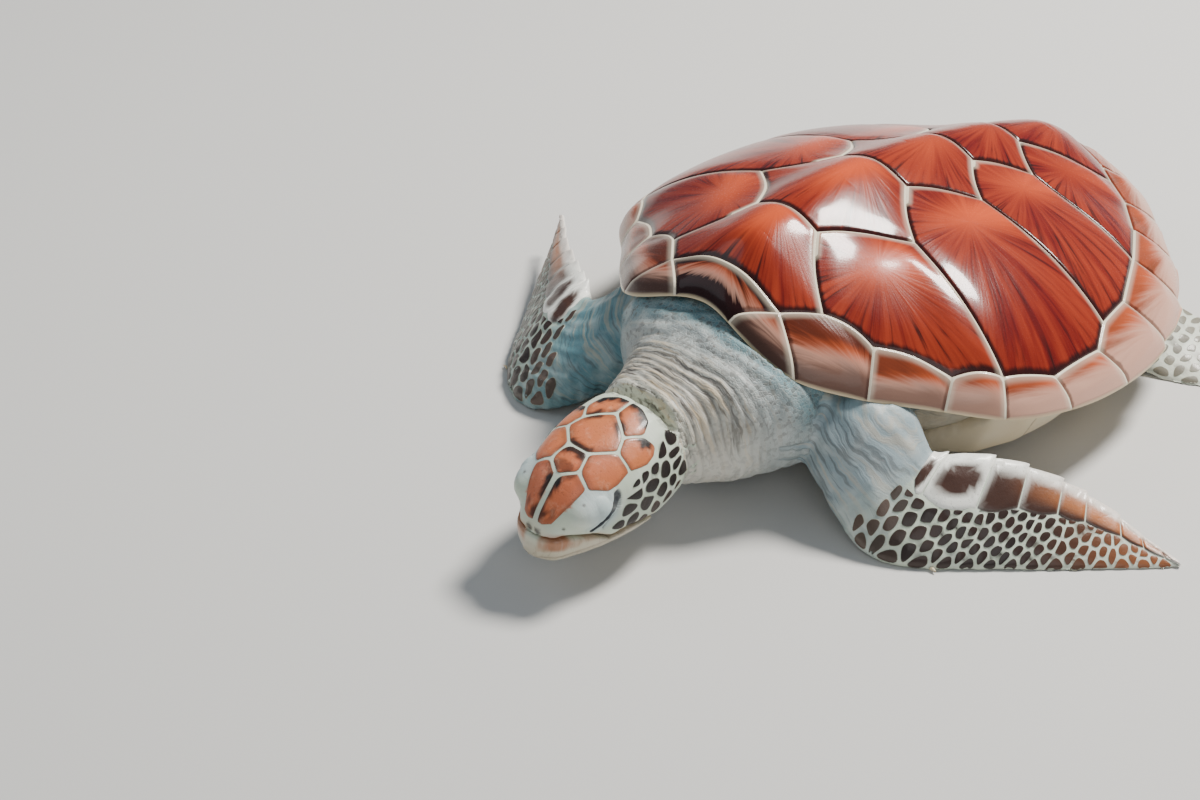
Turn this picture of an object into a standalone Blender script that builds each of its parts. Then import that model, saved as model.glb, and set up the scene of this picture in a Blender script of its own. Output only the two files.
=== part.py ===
"""Young green turtle at rest, modelled whole in one pose: run it in Blender 4.5.

Metres, +Z up. The turtle faces -Y, its left side is +X, and the floor is z = 0.
The origin is the middle of the flat of the belly that rests on the floor.
"""

import math

import bmesh
import bpy
from mathutils import Matrix, Vector

# Driving dimensions
SHELL = 0.42  # straight length of the carapace
PITCH = math.radians(6.2)  # the rim of the carapace is higher in front
SHELL_Y = -0.1756  # foremost point of the carapace's own frame
SHELL_Z = 0.097
HEAD = 0.107  # snout to the back of the parietal scales
HEAD_NOSE = Vector((0.0196, -0.3236, 0.0300))
HEAD_TURN = math.radians(4.3)  # towards the turtle's left
HEAD_DROOP = math.radians(13.2)  # nose down
HEAD_ROLL = math.radians(4.4)
GAP = 0.0003  # thin cut between neighbours
CLEAR = 0.0016  # room that the neck and limbs leave round the trunk
SCUTE = 0.0042  # thickness of a shell plate, measured straight down
UNDER_SCUTE = 0.0045  # room between a plate and the trunk, for their coarse facets
FLAT = 0.0008  # what lies lower than this is pressed flat on the floor

# The carapace in its own frame, in shell lengths: x to the left, y rearwards, z up
HUB = 0.372  # y of the point that the rim is measured round
RIM = (  # angle from straight ahead in degrees, distance from the hub
    (0, 0.330),
    (13.8, 0.345),
    (26.6, 0.357),
    (42.0, 0.347),
    (61.2, 0.355),
    (77.5, 0.400),
    (93.5, 0.422),
    (109.6, 0.452),
    (126.3, 0.497),
    (142.1, 0.537),
    (156.4, 0.570),
    (168.7, 0.617),
    (180, 0.645),
)
DOME = 0.148  # height of the dome over its rim
DOME_POWER = 0.739
RIM_DROP = -0.053  # the rim sinks along the flanks
RIM_REAR = 0.006
RIM_ARCH = 0.071  # and arches over the neck
ARCH_WIDTH = 0.13
KEEL = 0.034
KEEL_WIDTH = 0.08
TRUNK_KEEL = 0.018  # the trunk follows it less closely
KEEL_FADE = 0.3  # share of the rim's distance over which the keel sinks away

# Seams of the carapace: where plates meet, on the left side
NUCHAL_V1 = (0.105, 0.086)
V1_C1 = (0.147, 0.133)
V1_V2 = (0.058, 0.210)
V2_C1_C2 = (0.151, 0.326)
V2_V3 = (0.064, 0.406)
V3_C2_C3 = (0.130, 0.513)
C2_C3 = (0.365, 0.529)
V3_V4 = (0.056, 0.579)
V4_C3_C4 = (0.104, 0.680)
V4_V5 = (0.040, 0.722)
V5_C4 = (0.125, 0.875)
TAIL_SEAM = (0.0, 0.918)
INNER = (  # inner ends of the seams between marginal plates, front to rear
    NUCHAL_V1,
    NUCHAL_V1,
    (0.219, 0.164),
    (0.313, 0.235),
    (0.360, 0.296),
    (0.391, 0.380),
    (0.390, 0.486),
    (0.350, 0.598),
    (0.293, 0.699),
    (0.234, 0.785),
    (0.170, 0.852),
    (0.085, 0.905),
    TAIL_SEAM,
)
OUTER = (8.8, 28.2, 45.5, 63.9, 76.5, 93.1, 110.2, 125.4, 138.0, 149.5, 160.0, 170.0, 180.0)
SAW_FROM = 7  # plates from here back have a toothed rim
SAW = 0.06  # how far each tooth stands out at its rear, and its fellow stands back, per seam
EDGE_STEP = 0.075  # longest straight piece of a plate's edge
CUTTER_SHARES = (0.3, 0.55, 0.75, 0.88, 0.95, 1.0)
CUTTER_REACH = 0.012  # how far the carapace's cutter stands out past the rim, as a share

# Body under the carapace: shares of the rim's distance, heights over the floor
BRIDGE = (62.0, 84.0, 118.0, 142.0)  # angles between which the plastron climbs to the rim
BODY_SIDES = 32
NEAR_RIM = 0.35  # about the least distance of the rim, in shell lengths
CROWN = (0.34, 0.6, 0.79, 0.875)  # rings of the trunk under the plates
EAVE = (0.885, -0.004)  # share, and height over the rim
FLANK = (0.775, 0.036, 0.041)  # share, height, and height over a bridge
FLOOR = (0.60, 0.0135)
BELLY_INNER = 0.0125  # height of the plastron's inner side
BELLY = ((0.30, 0.0), (0.48, 0.0012), (0.62, 0.0050))  # from its flat outwards
BELLY_RISE = ((0.665, 0.0080), (0.810, 0.0180))  # the last ring before the edge, plain and bridge
BELLY_LINING = ((0.640, BELLY_INNER), (0.790, 0.0250))
BELLY_FLOOR = 0.615  # share of the innermost ring of its inner side
PLAIN_EDGE = ((0.675, 0.0100), (0.665, BELLY_INNER))  # outer and inner side of the edge
BRIDGE_EDGE = ((0.925, -0.0045), (0.900, -0.0048))  # heights over the rim

# Head sections: place along the head, then the value, both in head lengths
HEAD_TOP = (
    (0, 0.051), (0.05, 0.189), (0.15, 0.291), (0.3, 0.390), (0.5, 0.414),
    (0.7, 0.410), (0.9, 0.385), (1.0, 0.353), (1.15, 0.317),
)
HEAD_BOTTOM = (
    (0, -0.034), (0.05, -0.085), (0.15, -0.125), (0.3, -0.155), (0.5, -0.185),
    (0.7, -0.218), (0.9, -0.229), (1.0, -0.227), (1.15, -0.223),
)
HEAD_HALF = (
    (0, 0.050), (0.05, 0.130), (0.15, 0.195), (0.3, 0.284), (0.5, 0.352),
    (0.7, 0.370), (0.9, 0.350), (1.0, 0.325), (1.15, 0.300),
)
HEAD_SQUARE = 2.34  # exponent of the sections: 2 is an ellipse
HEAD_WAIST = 0.35  # how far up a section is widest
HEAD_RINGS = (0.0, 0.012, 0.03, 0.06, 0.10, 0.15, 0.21, 0.30, 0.40, 0.50, 0.60, 0.70, 0.80, 0.90, 0.97)
HEAD_SIDES = 22
MOUTH = ((-0.10, -0.012), (0.20, -0.045), (0.46, -0.018))
JAW_BACK = ((0.62, -0.075), (0.80, -0.40), (-0.10, -0.40))
BEAK_BACK = (
    (-0.10, -0.40), (0.33, -0.40), (0.33, -0.020), (0.26, 0.040), (0.12, 0.095), (-0.10, 0.120),
)
EYE_PLACE = (0.335, 0.203, 0.200)
EYE_RADIUS = 0.092

# Neck: centre, half width and half height, head to trunk
NECK = (
    ((0.0118, -0.224, 0.0605), 0.0335, 0.0310),
    ((0.0105, -0.202, 0.0580), 0.0410, 0.0390),
    ((0.0130, -0.182, 0.0585), 0.0550, 0.0445),
    ((0.0130, -0.160, 0.0610), 0.0720, 0.0495),
    ((0.0080, -0.136, 0.0635), 0.0820, 0.0515),
    ((0.0000, -0.106, 0.0660), 0.0820, 0.0510),
)
NECK_SQUARE = 2.3

# Limbs: leading edge, trailing edge and thickness, shoulder to tip
ARM_LEFT = (
    ((0.057, -0.133, 0.034), (0.068, -0.083, 0.084), 0.046),
    ((0.086, -0.148, 0.027), (0.100, -0.104, 0.083), 0.042),
    ((0.111, -0.157, 0.015), (0.125, -0.099, 0.068), 0.035),
    ((0.135, -0.161, 0.003), (0.141, -0.103, 0.051), 0.026),
    ((0.160, -0.154, 0.000), (0.157, -0.091, 0.050), 0.018),
    ((0.186, -0.132, 0.000), (0.176, -0.074, 0.046), 0.014),
    ((0.214, -0.105, 0.000), (0.201, -0.055, 0.035), 0.011),
    ((0.242, -0.077, 0.000), (0.228, -0.043, 0.022), 0.008),
    ((0.264, -0.054, 0.000), (0.256, -0.038, 0.010), 0.005),
    ((0.281, -0.035, 0.001), (0.280, -0.034, 0.002), 0.0018),
)
ARM_RIGHT = (
    ((-0.046, -0.134, 0.034), (-0.060, -0.083, 0.084), 0.046),
    ((-0.073, -0.157, 0.022), (-0.089, -0.109, 0.082), 0.042),
    ((-0.095, -0.181, 0.008), (-0.107, -0.122, 0.064), 0.034),
    ((-0.119, -0.194, 0.001), (-0.124, -0.126, 0.052), 0.026),
    ((-0.146, -0.184, 0.000), (-0.137, -0.120, 0.058), 0.018),
    ((-0.171, -0.157, 0.000), (-0.152, -0.110, 0.054), 0.014),
    ((-0.192, -0.125, 0.001), (-0.176, -0.093, 0.047), 0.011),
    ((-0.212, -0.093, 0.007), (-0.202, -0.074, 0.041), 0.008),
    ((-0.229, -0.062, 0.016), (-0.224, -0.054, 0.035), 0.005),
    ((-0.244, -0.037, 0.029), (-0.243, -0.037, 0.030), 0.0018),
)
ARM_SPLIT = 3.45
LEG_LEFT = (
    ((0.061, 0.116, 0.024), (0.054, 0.170, 0.046), 0.04),
    ((0.097, 0.112, 0.015), (0.093, 0.171, 0.036), 0.032),
    ((0.129, 0.117, 0.005), (0.124, 0.175, 0.024), 0.022),
    ((0.159, 0.125, 0.000), (0.147, 0.185, 0.015), 0.013),
    ((0.187, 0.142, 0.000), (0.167, 0.202, 0.009), 0.009),
    ((0.204, 0.167, 0.000), (0.184, 0.213, 0.005), 0.006),
    ((0.209, 0.200, 0.000), (0.204, 0.211, 0.001), 0.0016),
)
LEG_RIGHT_SHIFT = Vector((0.004, 0.006, 0.0))
LEG_SPLIT = 1.75
LIMB_SIDES = 14
LIMB_STEP = 0.5  # stations from one ring of a limb to the next
LIMB_CUT = 1.6 * GAP  # along the leading edge, for a slanted cut
EYE_ROOM = 1.5 * GAP
CLAW_STATION = 4.6
CLAW_LEAN = 0.9  # how far it leans towards the tip

TAIL = (
    ((0.0, 0.179, 0.034), 0.0250, 0.0180),
    ((0.0, 0.204, 0.029), 0.0190, 0.0150),
    ((0.001, 0.226, 0.021), 0.0130, 0.0105),
    ((0.003, 0.242, 0.0130), 0.0080, 0.0070),
    ((0.006, 0.253, 0.0080), 0.0040, 0.0036),
)

CLAW_LENGTH = 0.0062
CLAW_RADIUS = 0.0019

PARTS = "green_turtle"
CUTTERS = "cutters"


def smooth(table, t):
    """Cubic curve through (place, value) pairs, level at both ends."""
    if t <= table[0][0]:
        return table[0][1]
    if t >= table[-1][0]:
        return table[-1][1]
    slopes = [0.0]
    for before, after in zip(table[:-2], table[2:]):
        slopes.append((after[1] - before[1]) / (after[0] - before[0]))
    slopes.append(0.0)
    k = max(i for i, pair in enumerate(table) if pair[0] <= t)
    (t0, v0), (t1, v1) = table[k], table[k + 1]
    width = t1 - t0
    s = (t - t0) / width
    rise = s * s * (3 - 2 * s)
    return (
        v0 + (v1 - v0) * rise
        + slopes[k] * width * s * (1 - s) ** 2
        - slopes[k + 1] * width * s * s * (1 - s)
    )


def curve_point(stations, t):
    """Point of a smooth curve through the stations, at station number t."""
    last = len(stations) - 1
    k = min(int(t), last - 1)
    s = t - k
    p0 = Vector(stations[max(k - 1, 0)])
    p1 = Vector(stations[k])
    p2 = Vector(stations[k + 1])
    p3 = Vector(stations[min(k + 2, last)])
    pull = (p2 - p0) / 2
    push = (p3 - p1) / 2
    rise = s * s * (3 - 2 * s)
    return p1.lerp(p2, rise) + pull * (s * (1 - s) ** 2) - push * (s * s * (1 - s))


# ---------------------------------------------------------------- the shell's shape


def rim_point(angle, share=1.0):
    """Point at this share of the rim's distance from the hub; angle in degrees, left positive."""
    radius = smooth(RIM, abs(angle)) * share
    turn = math.radians(angle)
    return radius * math.sin(turn), HUB - radius * math.cos(turn)


def rim_height(x, y):
    arch = RIM_ARCH * math.exp(-((x / ARCH_WIDTH) ** 2)) if y < HUB else 0.0
    along = min(max(y, 0.0), 1.0)
    return RIM_DROP * math.sin(math.pi * along) + RIM_REAR * along * along + arch


def dome(x, y, keel_height=KEEL):
    """Height of the carapace's outer surface, with its keel along the midline."""
    angle = math.degrees(math.atan2(x, HUB - y))
    share = min(math.hypot(x, HUB - y) / smooth(RIM, abs(angle)), 1.0)
    edge = rim_height(*rim_point(angle))
    fade = smooth(((0, 0), (KEEL_FADE, 1)), 1 - share)
    keel = keel_height * math.exp(-((x / KEEL_WIDTH) ** 2)) * fade
    return edge * share**3 + DOME * (1 - share * share) ** DOME_POWER + keel


def shell_to_world(x, y, z, lift=0.0):
    """Shell-frame point in shell lengths, raised by lift metres, to the row frame."""
    up = z * SHELL + lift
    along = y * SHELL
    return Vector((
        x * SHELL,
        SHELL_Y + along * math.cos(PITCH) + up * math.sin(PITCH),
        SHELL_Z - along * math.sin(PITCH) + up * math.cos(PITCH),
    ))


# ---------------------------------------------------------------- making meshes


def material(name, color, roughness, metallic=0.0):
    made = bpy.data.materials.get(name)
    if made is None:
        made = bpy.data.materials.new(name)
        made.use_nodes = True
        shader = made.node_tree.nodes["Principled BSDF"]
        shader.inputs["Base Color"].default_value = (*color, 1.0)
        shader.inputs["Roughness"].default_value = roughness
        shader.inputs["Metallic"].default_value = metallic
    return made


def scute_horn():
    return material("scute_horn", (0.36, 0.10, 0.045), 0.25)


def marginal_horn():
    return material("marginal_horn", (0.50, 0.24, 0.14), 0.35)


def belly_horn():
    return material("belly_horn", (0.78, 0.68, 0.50), 0.45)


def soft_skin():
    return material("soft_skin", (0.50, 0.53, 0.52), 0.6)


def scaled_skin():
    return material("scaled_skin", (0.16, 0.11, 0.08), 0.5)


def head_skin():
    return material("head_skin", (0.50, 0.17, 0.08), 0.45)


def beak_horn():
    return material("beak_horn", (0.60, 0.52, 0.38), 0.4)


def eyeball():
    return material("eyeball", (0.015, 0.014, 0.013), 0.08)


def claw_horn():
    return material("claw_horn", (0.62, 0.52, 0.36), 0.4)


def collection(name):
    made = bpy.data.collections.new(name)
    bpy.context.scene.collection.children.link(made)
    return made


def add_object(name, bm, look, where=PARTS):
    bmesh.ops.triangulate(bm, faces=bm.faces)
    bmesh.ops.recalc_face_normals(bm, faces=bm.faces)
    mesh = bpy.data.meshes.new(name)
    bm.to_mesh(mesh)
    bm.free()
    made = bpy.data.objects.new(name, mesh)
    bpy.data.collections[where].objects.link(made)
    mesh.materials.append(look)
    mesh.shade_smooth()
    mesh.set_sharp_from_angle(angle=math.radians(40))
    if where == CUTTERS:
        made.hide_render = True
        made.display_type = "WIRE"
    return made


def cut(body, tool, operation="DIFFERENCE"):
    step = body.modifiers.new(tool.name, "BOOLEAN")
    step.operation = operation
    step.solver = "EXACT"
    step.object = tool


def skin_rings(rings, start=None, end=None):
    """Closed loft over rings of equal count, with a pole or a flat fan at each end."""
    bm = bmesh.new()
    loops = [[bm.verts.new(p) for p in ring] for ring in rings]
    for near, far in zip(loops, loops[1:]):
        for i in range(len(near)):
            j = (i + 1) % len(near)
            bm.faces.new((near[i], near[j], far[j], far[i]))
    for loop, pole in ((loops[0], start), (loops[-1], end)):
        middle = bm.verts.new(pole if pole else sum((v.co for v in loop), Vector()) / len(loop))
        for i in range(len(loop)):
            bm.faces.new((loop[i], loop[(i + 1) % len(loop)], middle))
    return bm


def press_flat(bm):
    for vert in bm.verts:
        if vert.co.z < FLAT:
            vert.co.z = 0.0


def oval(centre, side, up, sides, power=2.0):
    """Ring round centre with half axes side and up; power over 2 squares it."""
    ring = []
    for i in range(sides):
        turn = 2 * math.pi * i / sides
        c, s = math.cos(turn), math.sin(turn)
        across = math.copysign(abs(c) ** (2 / power), c)
        height = math.copysign(abs(s) ** (2 / power), s)
        ring.append(Vector(centre) + Vector(side) * across + Vector(up) * height)
    return ring


# ---------------------------------------------------------------- carapace plates


def plate_edge(corners):
    """Dense outline through (x, y, angle) corners; between two rim corners it follows the rim."""
    outline = []
    for here, after in zip(corners, corners[1:] + corners[:1]):
        steps = max(1, round(math.dist(here[:2], after[:2]) / EDGE_STEP))
        on_rim = here[2] is not None and after[2] is not None
        if on_rim:
            steps = 3
        for k in range(steps):
            s = k / steps
            if on_rim and k:
                share = here[3] + (after[3] - here[3]) * s
                outline.append(rim_point(here[2] + (after[2] - here[2]) * s, share))
            else:
                outline.append((
                    here[0] + (after[0] - here[0]) * s,
                    here[1] + (after[1] - here[1]) * s,
                ))
    return outline


def plate(name, corners, look, rings=(0.55,)):
    """Plate of the carapace over a plan outline, parted from its neighbours by thin cuts."""
    outline = plate_edge(corners)
    cx = sum(p[0] for p in outline) / len(outline)
    cy = sum(p[1] for p in outline) / len(outline)
    shrunk = []
    for x, y in outline:
        reach = math.hypot(x - cx, y - cy)
        keep = 1 - GAP / SHELL / reach
        shrunk.append((cx + (x - cx) * keep, cy + (y - cy) * keep))
    levels = []
    for share in (1.0, *rings):
        levels.append([(cx + (x - cx) * share, cy + (y - cy) * share) for x, y in shrunk])

    def place(ring, lift):
        return [shell_to_world(x, y, dome(x, y), lift) for x, y in ring]

    below = [place(ring, -SCUTE) for ring in reversed(levels)]
    above = [place(ring, 0.0) for ring in levels]
    middle = (cx, cy, dome(cx, cy))
    bm = skin_rings(below + above, shell_to_world(*middle, -SCUTE), shell_to_world(*middle))
    return add_object(name, bm, look)


def inner(point):
    return (*point, None, None)


def mirrored(corners):
    """The same corners on the turtle's right side."""
    return [
        (-x, y, None if angle is None else -angle, share)
        for x, y, angle, share in reversed(corners)
    ]


def middle_plate(name, left_side, look, rings=(0.6, 0.25)):
    """Plate across the midline, from its left corners front to rear."""
    left = [inner(p) if len(p) == 2 else p for p in left_side]
    right = [corner for corner in mirrored(left) if corner[0] != 0]
    return plate(name, left + right, look, rings)


def rim_corner(number, saw=0.0):
    """Outer end of a seam between marginal plates, run on past the rim by a share of itself."""
    x0, y0 = INNER[number]
    x1, y1 = rim_point(OUTER[number])
    x, y = x0 + (x1 - x0) * (1 + saw), y0 + (y1 - y0) * (1 + saw)
    share = math.hypot(x, HUB - y) / smooth(RIM, OUTER[number])
    return x, y, OUTER[number], share


def vertebrals():
    """Nuchal plate and the five plates along the back."""
    middle_plate("nuchal", [rim_corner(0), NUCHAL_V1], marginal_horn())
    rows = (
        (NUCHAL_V1, V1_C1, V1_V2),
        (V1_V2, V2_C1_C2, V2_V3),
        (V2_V3, V3_C2_C3, V3_V4),
        (V3_V4, V4_C3_C4, V4_V5),
        (V4_V5, V5_C4, INNER[11], TAIL_SEAM),
    )
    for number, row in enumerate(rows, 1):
        middle_plate(f"vertebral_{number}", list(row), scute_horn())


def costals():
    """Four broad plates on each side of the back, front to rear."""
    rows = (
        (V1_C1, INNER[2], INNER[3], INNER[4], V2_C1_C2, V1_V2),
        (INNER[4], INNER[5], INNER[6], C2_C3, V3_C2_C3, V2_V3, V2_C1_C2),
        (C2_C3, INNER[7], INNER[8], V4_C3_C4, V3_V4, V3_C2_C3),
        (INNER[8], INNER[9], INNER[10], V5_C4, V4_V5, V4_C3_C4),
    )
    for number, row in enumerate(rows, 1):
        corners = [inner(p) for p in row]
        plate(f"costal_{number}_left", corners, scute_horn(), (0.6, 0.25))
        plate(f"costal_{number}_right", mirrored(corners), scute_horn(), (0.6, 0.25))


def marginals():
    """Twelve plates on each side round the rim, front to rear."""
    extra = {2: V1_C1, 7: C2_C3, 11: V5_C4}  # corner where an upper seam ends
    for number in range(1, 13):
        front = rim_corner(number - 1, -SAW if number > SAW_FROM else 0.0)
        rear = rim_corner(number, SAW if SAW_FROM < number < 12 else 0.0)
        corners = [inner(INNER[number - 1]), front, rear, inner(INNER[number])]
        if INNER[number - 1] == INNER[number]:
            corners.pop()
        if number in extra:
            corners.append(inner(extra[number]))
        plate(f"marginal_{number}_left", corners, marginal_horn())
        plate(f"marginal_{number}_right", mirrored(corners), marginal_horn())


def carapace_cutter():
    """The whole carapace as one solid, a little thicker than the plates."""
    rings_up = []
    rings_down = []
    for share in CUTTER_SHARES:
        points = [rim_point(360 * i / 48 - 180, share + CUTTER_REACH) for i in range(48)]
        shape = [(x, y, dome(x, y)) for x, y in points]
        rings_up.append([shell_to_world(*p, CLEAR) for p in shape])
        rings_down.append([shell_to_world(*p, -SCUTE - 3 * CLEAR) for p in shape])
    centre = (0, HUB, dome(0, HUB))
    bm = skin_rings(
        rings_down + rings_up[::-1],
        shell_to_world(*centre, -SCUTE - 3 * CLEAR),
        shell_to_world(*centre, CLEAR),
    )
    return add_object("carapace_cutter", bm, scute_horn(), CUTTERS)


# ---------------------------------------------------------------- trunk and plastron


def bridge_share(angle):
    """One along the flank, where the plastron climbs to the rim, and nought elsewhere."""
    side = abs(angle)
    start, full, fade, end = BRIDGE
    rise = min(max((side - start) / (full - start), 0), 1)
    fall = min(max((end - side) / (end - fade), 0), 1)
    share = min(rise, fall)
    return share * share * (3 - 2 * share)


def body_point(angle, share, height, rim_lift=None):
    """Point under the carapace; with rim_lift its height is the rim's plus that."""
    x, y = rim_point(angle, share)
    edge = rim_point(angle)
    rim = shell_to_world(*edge, rim_height(*edge))
    along = SHELL_Y + y * SHELL * math.cos(PITCH) + rim_height(*edge) * SHELL * math.sin(PITCH)
    return Vector((x * SHELL, along, height if rim_lift is None else rim.z + rim_lift))


def body_ring(place):
    return [place(360 * i / BODY_SIDES - 180) for i in range(BODY_SIDES)]


def blend(angle, plain, bridge):
    return plain + (bridge - plain) * bridge_share(angle)


def trunk_mesh(grow=0.0):
    """The body that carries the plates; grow pushes every side out for a cutter."""
    part = grow / (NEAR_RIM * SHELL)

    def crown(share):
        def place(angle):
            x, y = rim_point(angle, share)
            return shell_to_world(x, y, dome(x, y, TRUNK_KEEL), grow - SCUTE - UNDER_SCUTE)
        return place

    def eave(angle):
        return body_point(angle, EAVE[0] + part, 0, EAVE[1] - grow)

    def flank(angle):
        return body_point(angle, FLANK[0] + part, blend(angle, FLANK[1], FLANK[2]) - grow)

    def floor(angle):
        return body_point(angle, FLOOR[0] + part, FLOOR[1] - grow)

    rings = [body_ring(crown(share)) for share in CROWN]
    rings += [body_ring(eave), body_ring(flank), body_ring(floor)]
    top = shell_to_world(0, HUB, dome(0, HUB, TRUNK_KEEL), grow - SCUTE - UNDER_SCUTE)
    bottom = body_point(0, 0, FLOOR[1] - grow)
    return skin_rings(rings, top, bottom)


def trunk():
    body = add_object("trunk", trunk_mesh(), soft_skin())
    tool = add_object("belly_cutter", plastron_mesh(2 * CLEAR), belly_horn(), CUTTERS)
    cut(body, tool)


def belly_edge(angle, plain, bridge):
    """Edge of the plastron: low on plain stretches, just under the rim along the bridge."""
    low = body_point(angle, *plain)
    high = body_point(angle, bridge[0], 0, bridge[1])
    return low.lerp(high, bridge_share(angle))


def plastron_mesh(grow=0.0):
    """The under shell, with a bridge up to the rim on each flank."""
    part = grow / (NEAR_RIM * SHELL)

    def sole(number):
        share, height = BELLY[number]
        return lambda angle: body_point(angle, share + part * min(number, 1), height - grow)

    def rise(angle):
        (plain, low), (bridge, high) = BELLY_RISE
        return body_point(angle, blend(angle, plain, bridge) + part, blend(angle, low, high) - grow)

    def outer_edge(angle):
        plain = (PLAIN_EDGE[0][0] + part, PLAIN_EDGE[0][1])
        return belly_edge(angle, plain, (BRIDGE_EDGE[0][0] + part, BRIDGE_EDGE[0][1] + grow))

    def inner_edge(angle):
        plain = (PLAIN_EDGE[1][0] + part, PLAIN_EDGE[1][1] + grow)
        return belly_edge(angle, plain, (BRIDGE_EDGE[1][0] - part, BRIDGE_EDGE[1][1] + grow))

    def lining(angle):
        (plain, low), (bridge, high) = BELLY_LINING
        return body_point(angle, blend(angle, plain, bridge - part), blend(angle, low, high) + grow)

    def floor(angle):
        return body_point(angle, BELLY_FLOOR, BELLY_INNER + grow)

    places = (sole(0), sole(1), sole(2), rise, outer_edge, inner_edge, lining, floor)
    rings = [body_ring(place) for place in places]
    return skin_rings(rings, body_point(0, 0, -grow), body_point(0, 0, BELLY_INNER + grow))


def plastron():
    add_object("plastron", plastron_mesh(), belly_horn())


# ---------------------------------------------------------------- neck and head


def tube_rings(stations, sides, power, grow=0.0, step=1.0):
    """Rings across a body part whose stations are (centre, half width, half height)."""
    centres = [s[0] for s in stations]
    sizes = [(s[1], s[2], 0.0) for s in stations]
    rings = []
    count = round((len(stations) - 1) / step)
    for k in range(count + 1):
        t = min(k * step, len(stations) - 1)
        centre = curve_point(centres, t)
        ahead = curve_point(centres, min(t + 0.05, len(stations) - 1))
        behind = curve_point(centres, max(t - 0.05, 0))
        along = (ahead - behind).normalized()
        side = along.cross(Vector((0, 0, 1))).normalized()
        up = side.cross(along)
        half = curve_point(sizes, t)
        rings.append(oval(centre, side * (half.x + grow), up * (half.y + grow), sides, power))
    return rings


def neck():
    body = add_object("neck", skin_rings(tube_rings(NECK, 24, NECK_SQUARE)), soft_skin())
    nape = HEAD_RINGS[-1] + GAP / HEAD
    head_prism("nape_cutter", ((nape, -0.6), (nape, 0.6), (0.3, 0.6), (0.3, -0.6)))
    for tool in ("nape_cutter", "trunk_cutter", "plastron_cutter", "carapace_cutter"):
        cut(body, bpy.data.objects[tool])


def head_matrix():
    turn = Matrix.Rotation(HEAD_TURN, 4, "Z")
    droop = Matrix.Rotation(HEAD_DROOP, 4, "X")
    roll = Matrix.Rotation(HEAD_ROLL, 4, "Y")
    return Matrix.Translation(HEAD_NOSE) @ turn @ droop @ roll @ Matrix.Scale(HEAD, 4)


def head_point(along, side, up):
    return head_matrix() @ Vector((side, along, up))


def head_ring(along):
    top, bottom = smooth(HEAD_TOP, along), smooth(HEAD_BOTTOM, along)
    half = smooth(HEAD_HALF, along)
    waist = bottom + (top - bottom) * HEAD_WAIST
    ring = []
    for i in range(HEAD_SIDES):
        turn = 2 * math.pi * i / HEAD_SIDES
        c, s = math.cos(turn), math.sin(turn)
        side = half * math.copysign(abs(c) ** (2 / HEAD_SQUARE), c)
        reach = top - waist if s > 0 else waist - bottom
        height = waist + reach * math.copysign(abs(s) ** (2 / HEAD_SQUARE), s)
        ring.append(head_point(along, side, height))
    return ring


def head_solid():
    nose = head_point(-0.008, 0, 0.010)
    return skin_rings([head_ring(along) for along in HEAD_RINGS], nose)


def head_prism(name, outline):
    """Cutter right across the head over an outline of (along, up) points."""
    left = [head_point(along, 0.6, up) for along, up in outline]
    right = [head_point(along, -0.6, up) for along, up in outline]
    bm = bmesh.new()
    near = [bm.verts.new(p) for p in left]
    far = [bm.verts.new(p) for p in right]
    bm.faces.new(near)
    bm.faces.new(far)
    for i in range(len(near)):
        j = (i + 1) % len(near)
        bm.faces.new((near[i], near[j], far[j], far[i]))
    return add_object(name, bm, head_skin(), CUTTERS)


def shifted(points, along, up):
    return [(a + along, u + up) for a, u in points]


def head_cutters():
    """Prisms that divide the head into beak, jaw and skull, with a thin cut between."""
    thin = GAP / HEAD
    jaw = list(MOUTH) + list(JAW_BACK)
    head_prism("jaw_keep", jaw)
    head_prism("jaw_clear", shifted(MOUTH, thin, thin) + shifted(JAW_BACK, thin, 0))
    head_prism("beak_keep", BEAK_BACK)
    head_prism("beak_clear", shifted(BEAK_BACK, thin, thin))


def eye_mesh(side, grow=0.0):
    bm = bmesh.new()
    bmesh.ops.create_uvsphere(bm, u_segments=14, v_segments=9, radius=EYE_RADIUS * HEAD + grow)
    along, out, up = EYE_PLACE
    centre = head_point(along, out * side, up)
    turn = head_matrix().to_euler().to_matrix().to_4x4()
    aside = turn @ Matrix.Rotation(math.radians(90), 4, "Y")
    bmesh.ops.transform(bm, matrix=Matrix.Translation(centre) @ aside, verts=bm.verts)
    return bm


def head():
    cutters = bpy.data.objects
    head_cutters()
    skull = add_object("head", head_solid(), head_skin())
    cut(skull, cutters["jaw_clear"])
    cut(skull, cutters["beak_clear"])
    for name, side in (("left", 1), ("right", -1)):
        add_object(f"eye_{name}", eye_mesh(side), eyeball())
        tool = add_object(f"eye_{name}_cutter", eye_mesh(side, EYE_ROOM), eyeball(), CUTTERS)
        cut(skull, tool)
    jaw = add_object("jaw", head_solid(), beak_horn())
    cut(jaw, cutters["jaw_keep"], "INTERSECT")
    beak = add_object("beak", head_solid(), beak_horn())
    cut(beak, cutters["jaw_clear"])
    cut(beak, cutters["beak_keep"], "INTERSECT")


# ---------------------------------------------------------------- limbs and tail


def limb_ring(stations, t, grow=0.0):
    """Flat oval from the leading to the trailing edge at station number t."""
    lead = curve_point([s[0] for s in stations], t)
    trail = curve_point([s[1] for s in stations], t)
    thick = curve_point([(s[2], 0, 0) for s in stations], t).x
    last = len(stations) - 1
    middles = [(Vector(s[0]) + Vector(s[1])) / 2 for s in stations]
    ahead = curve_point(middles, min(t + 0.1, last))
    behind = curve_point(middles, max(t - 0.1, 0))
    chord = lead - trail
    facing = chord.cross(ahead - behind).normalized()
    out = chord.normalized() * grow
    return oval((lead + trail) / 2, chord / 2 + out, facing * (thick / 2 + grow), LIMB_SIDES)


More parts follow.
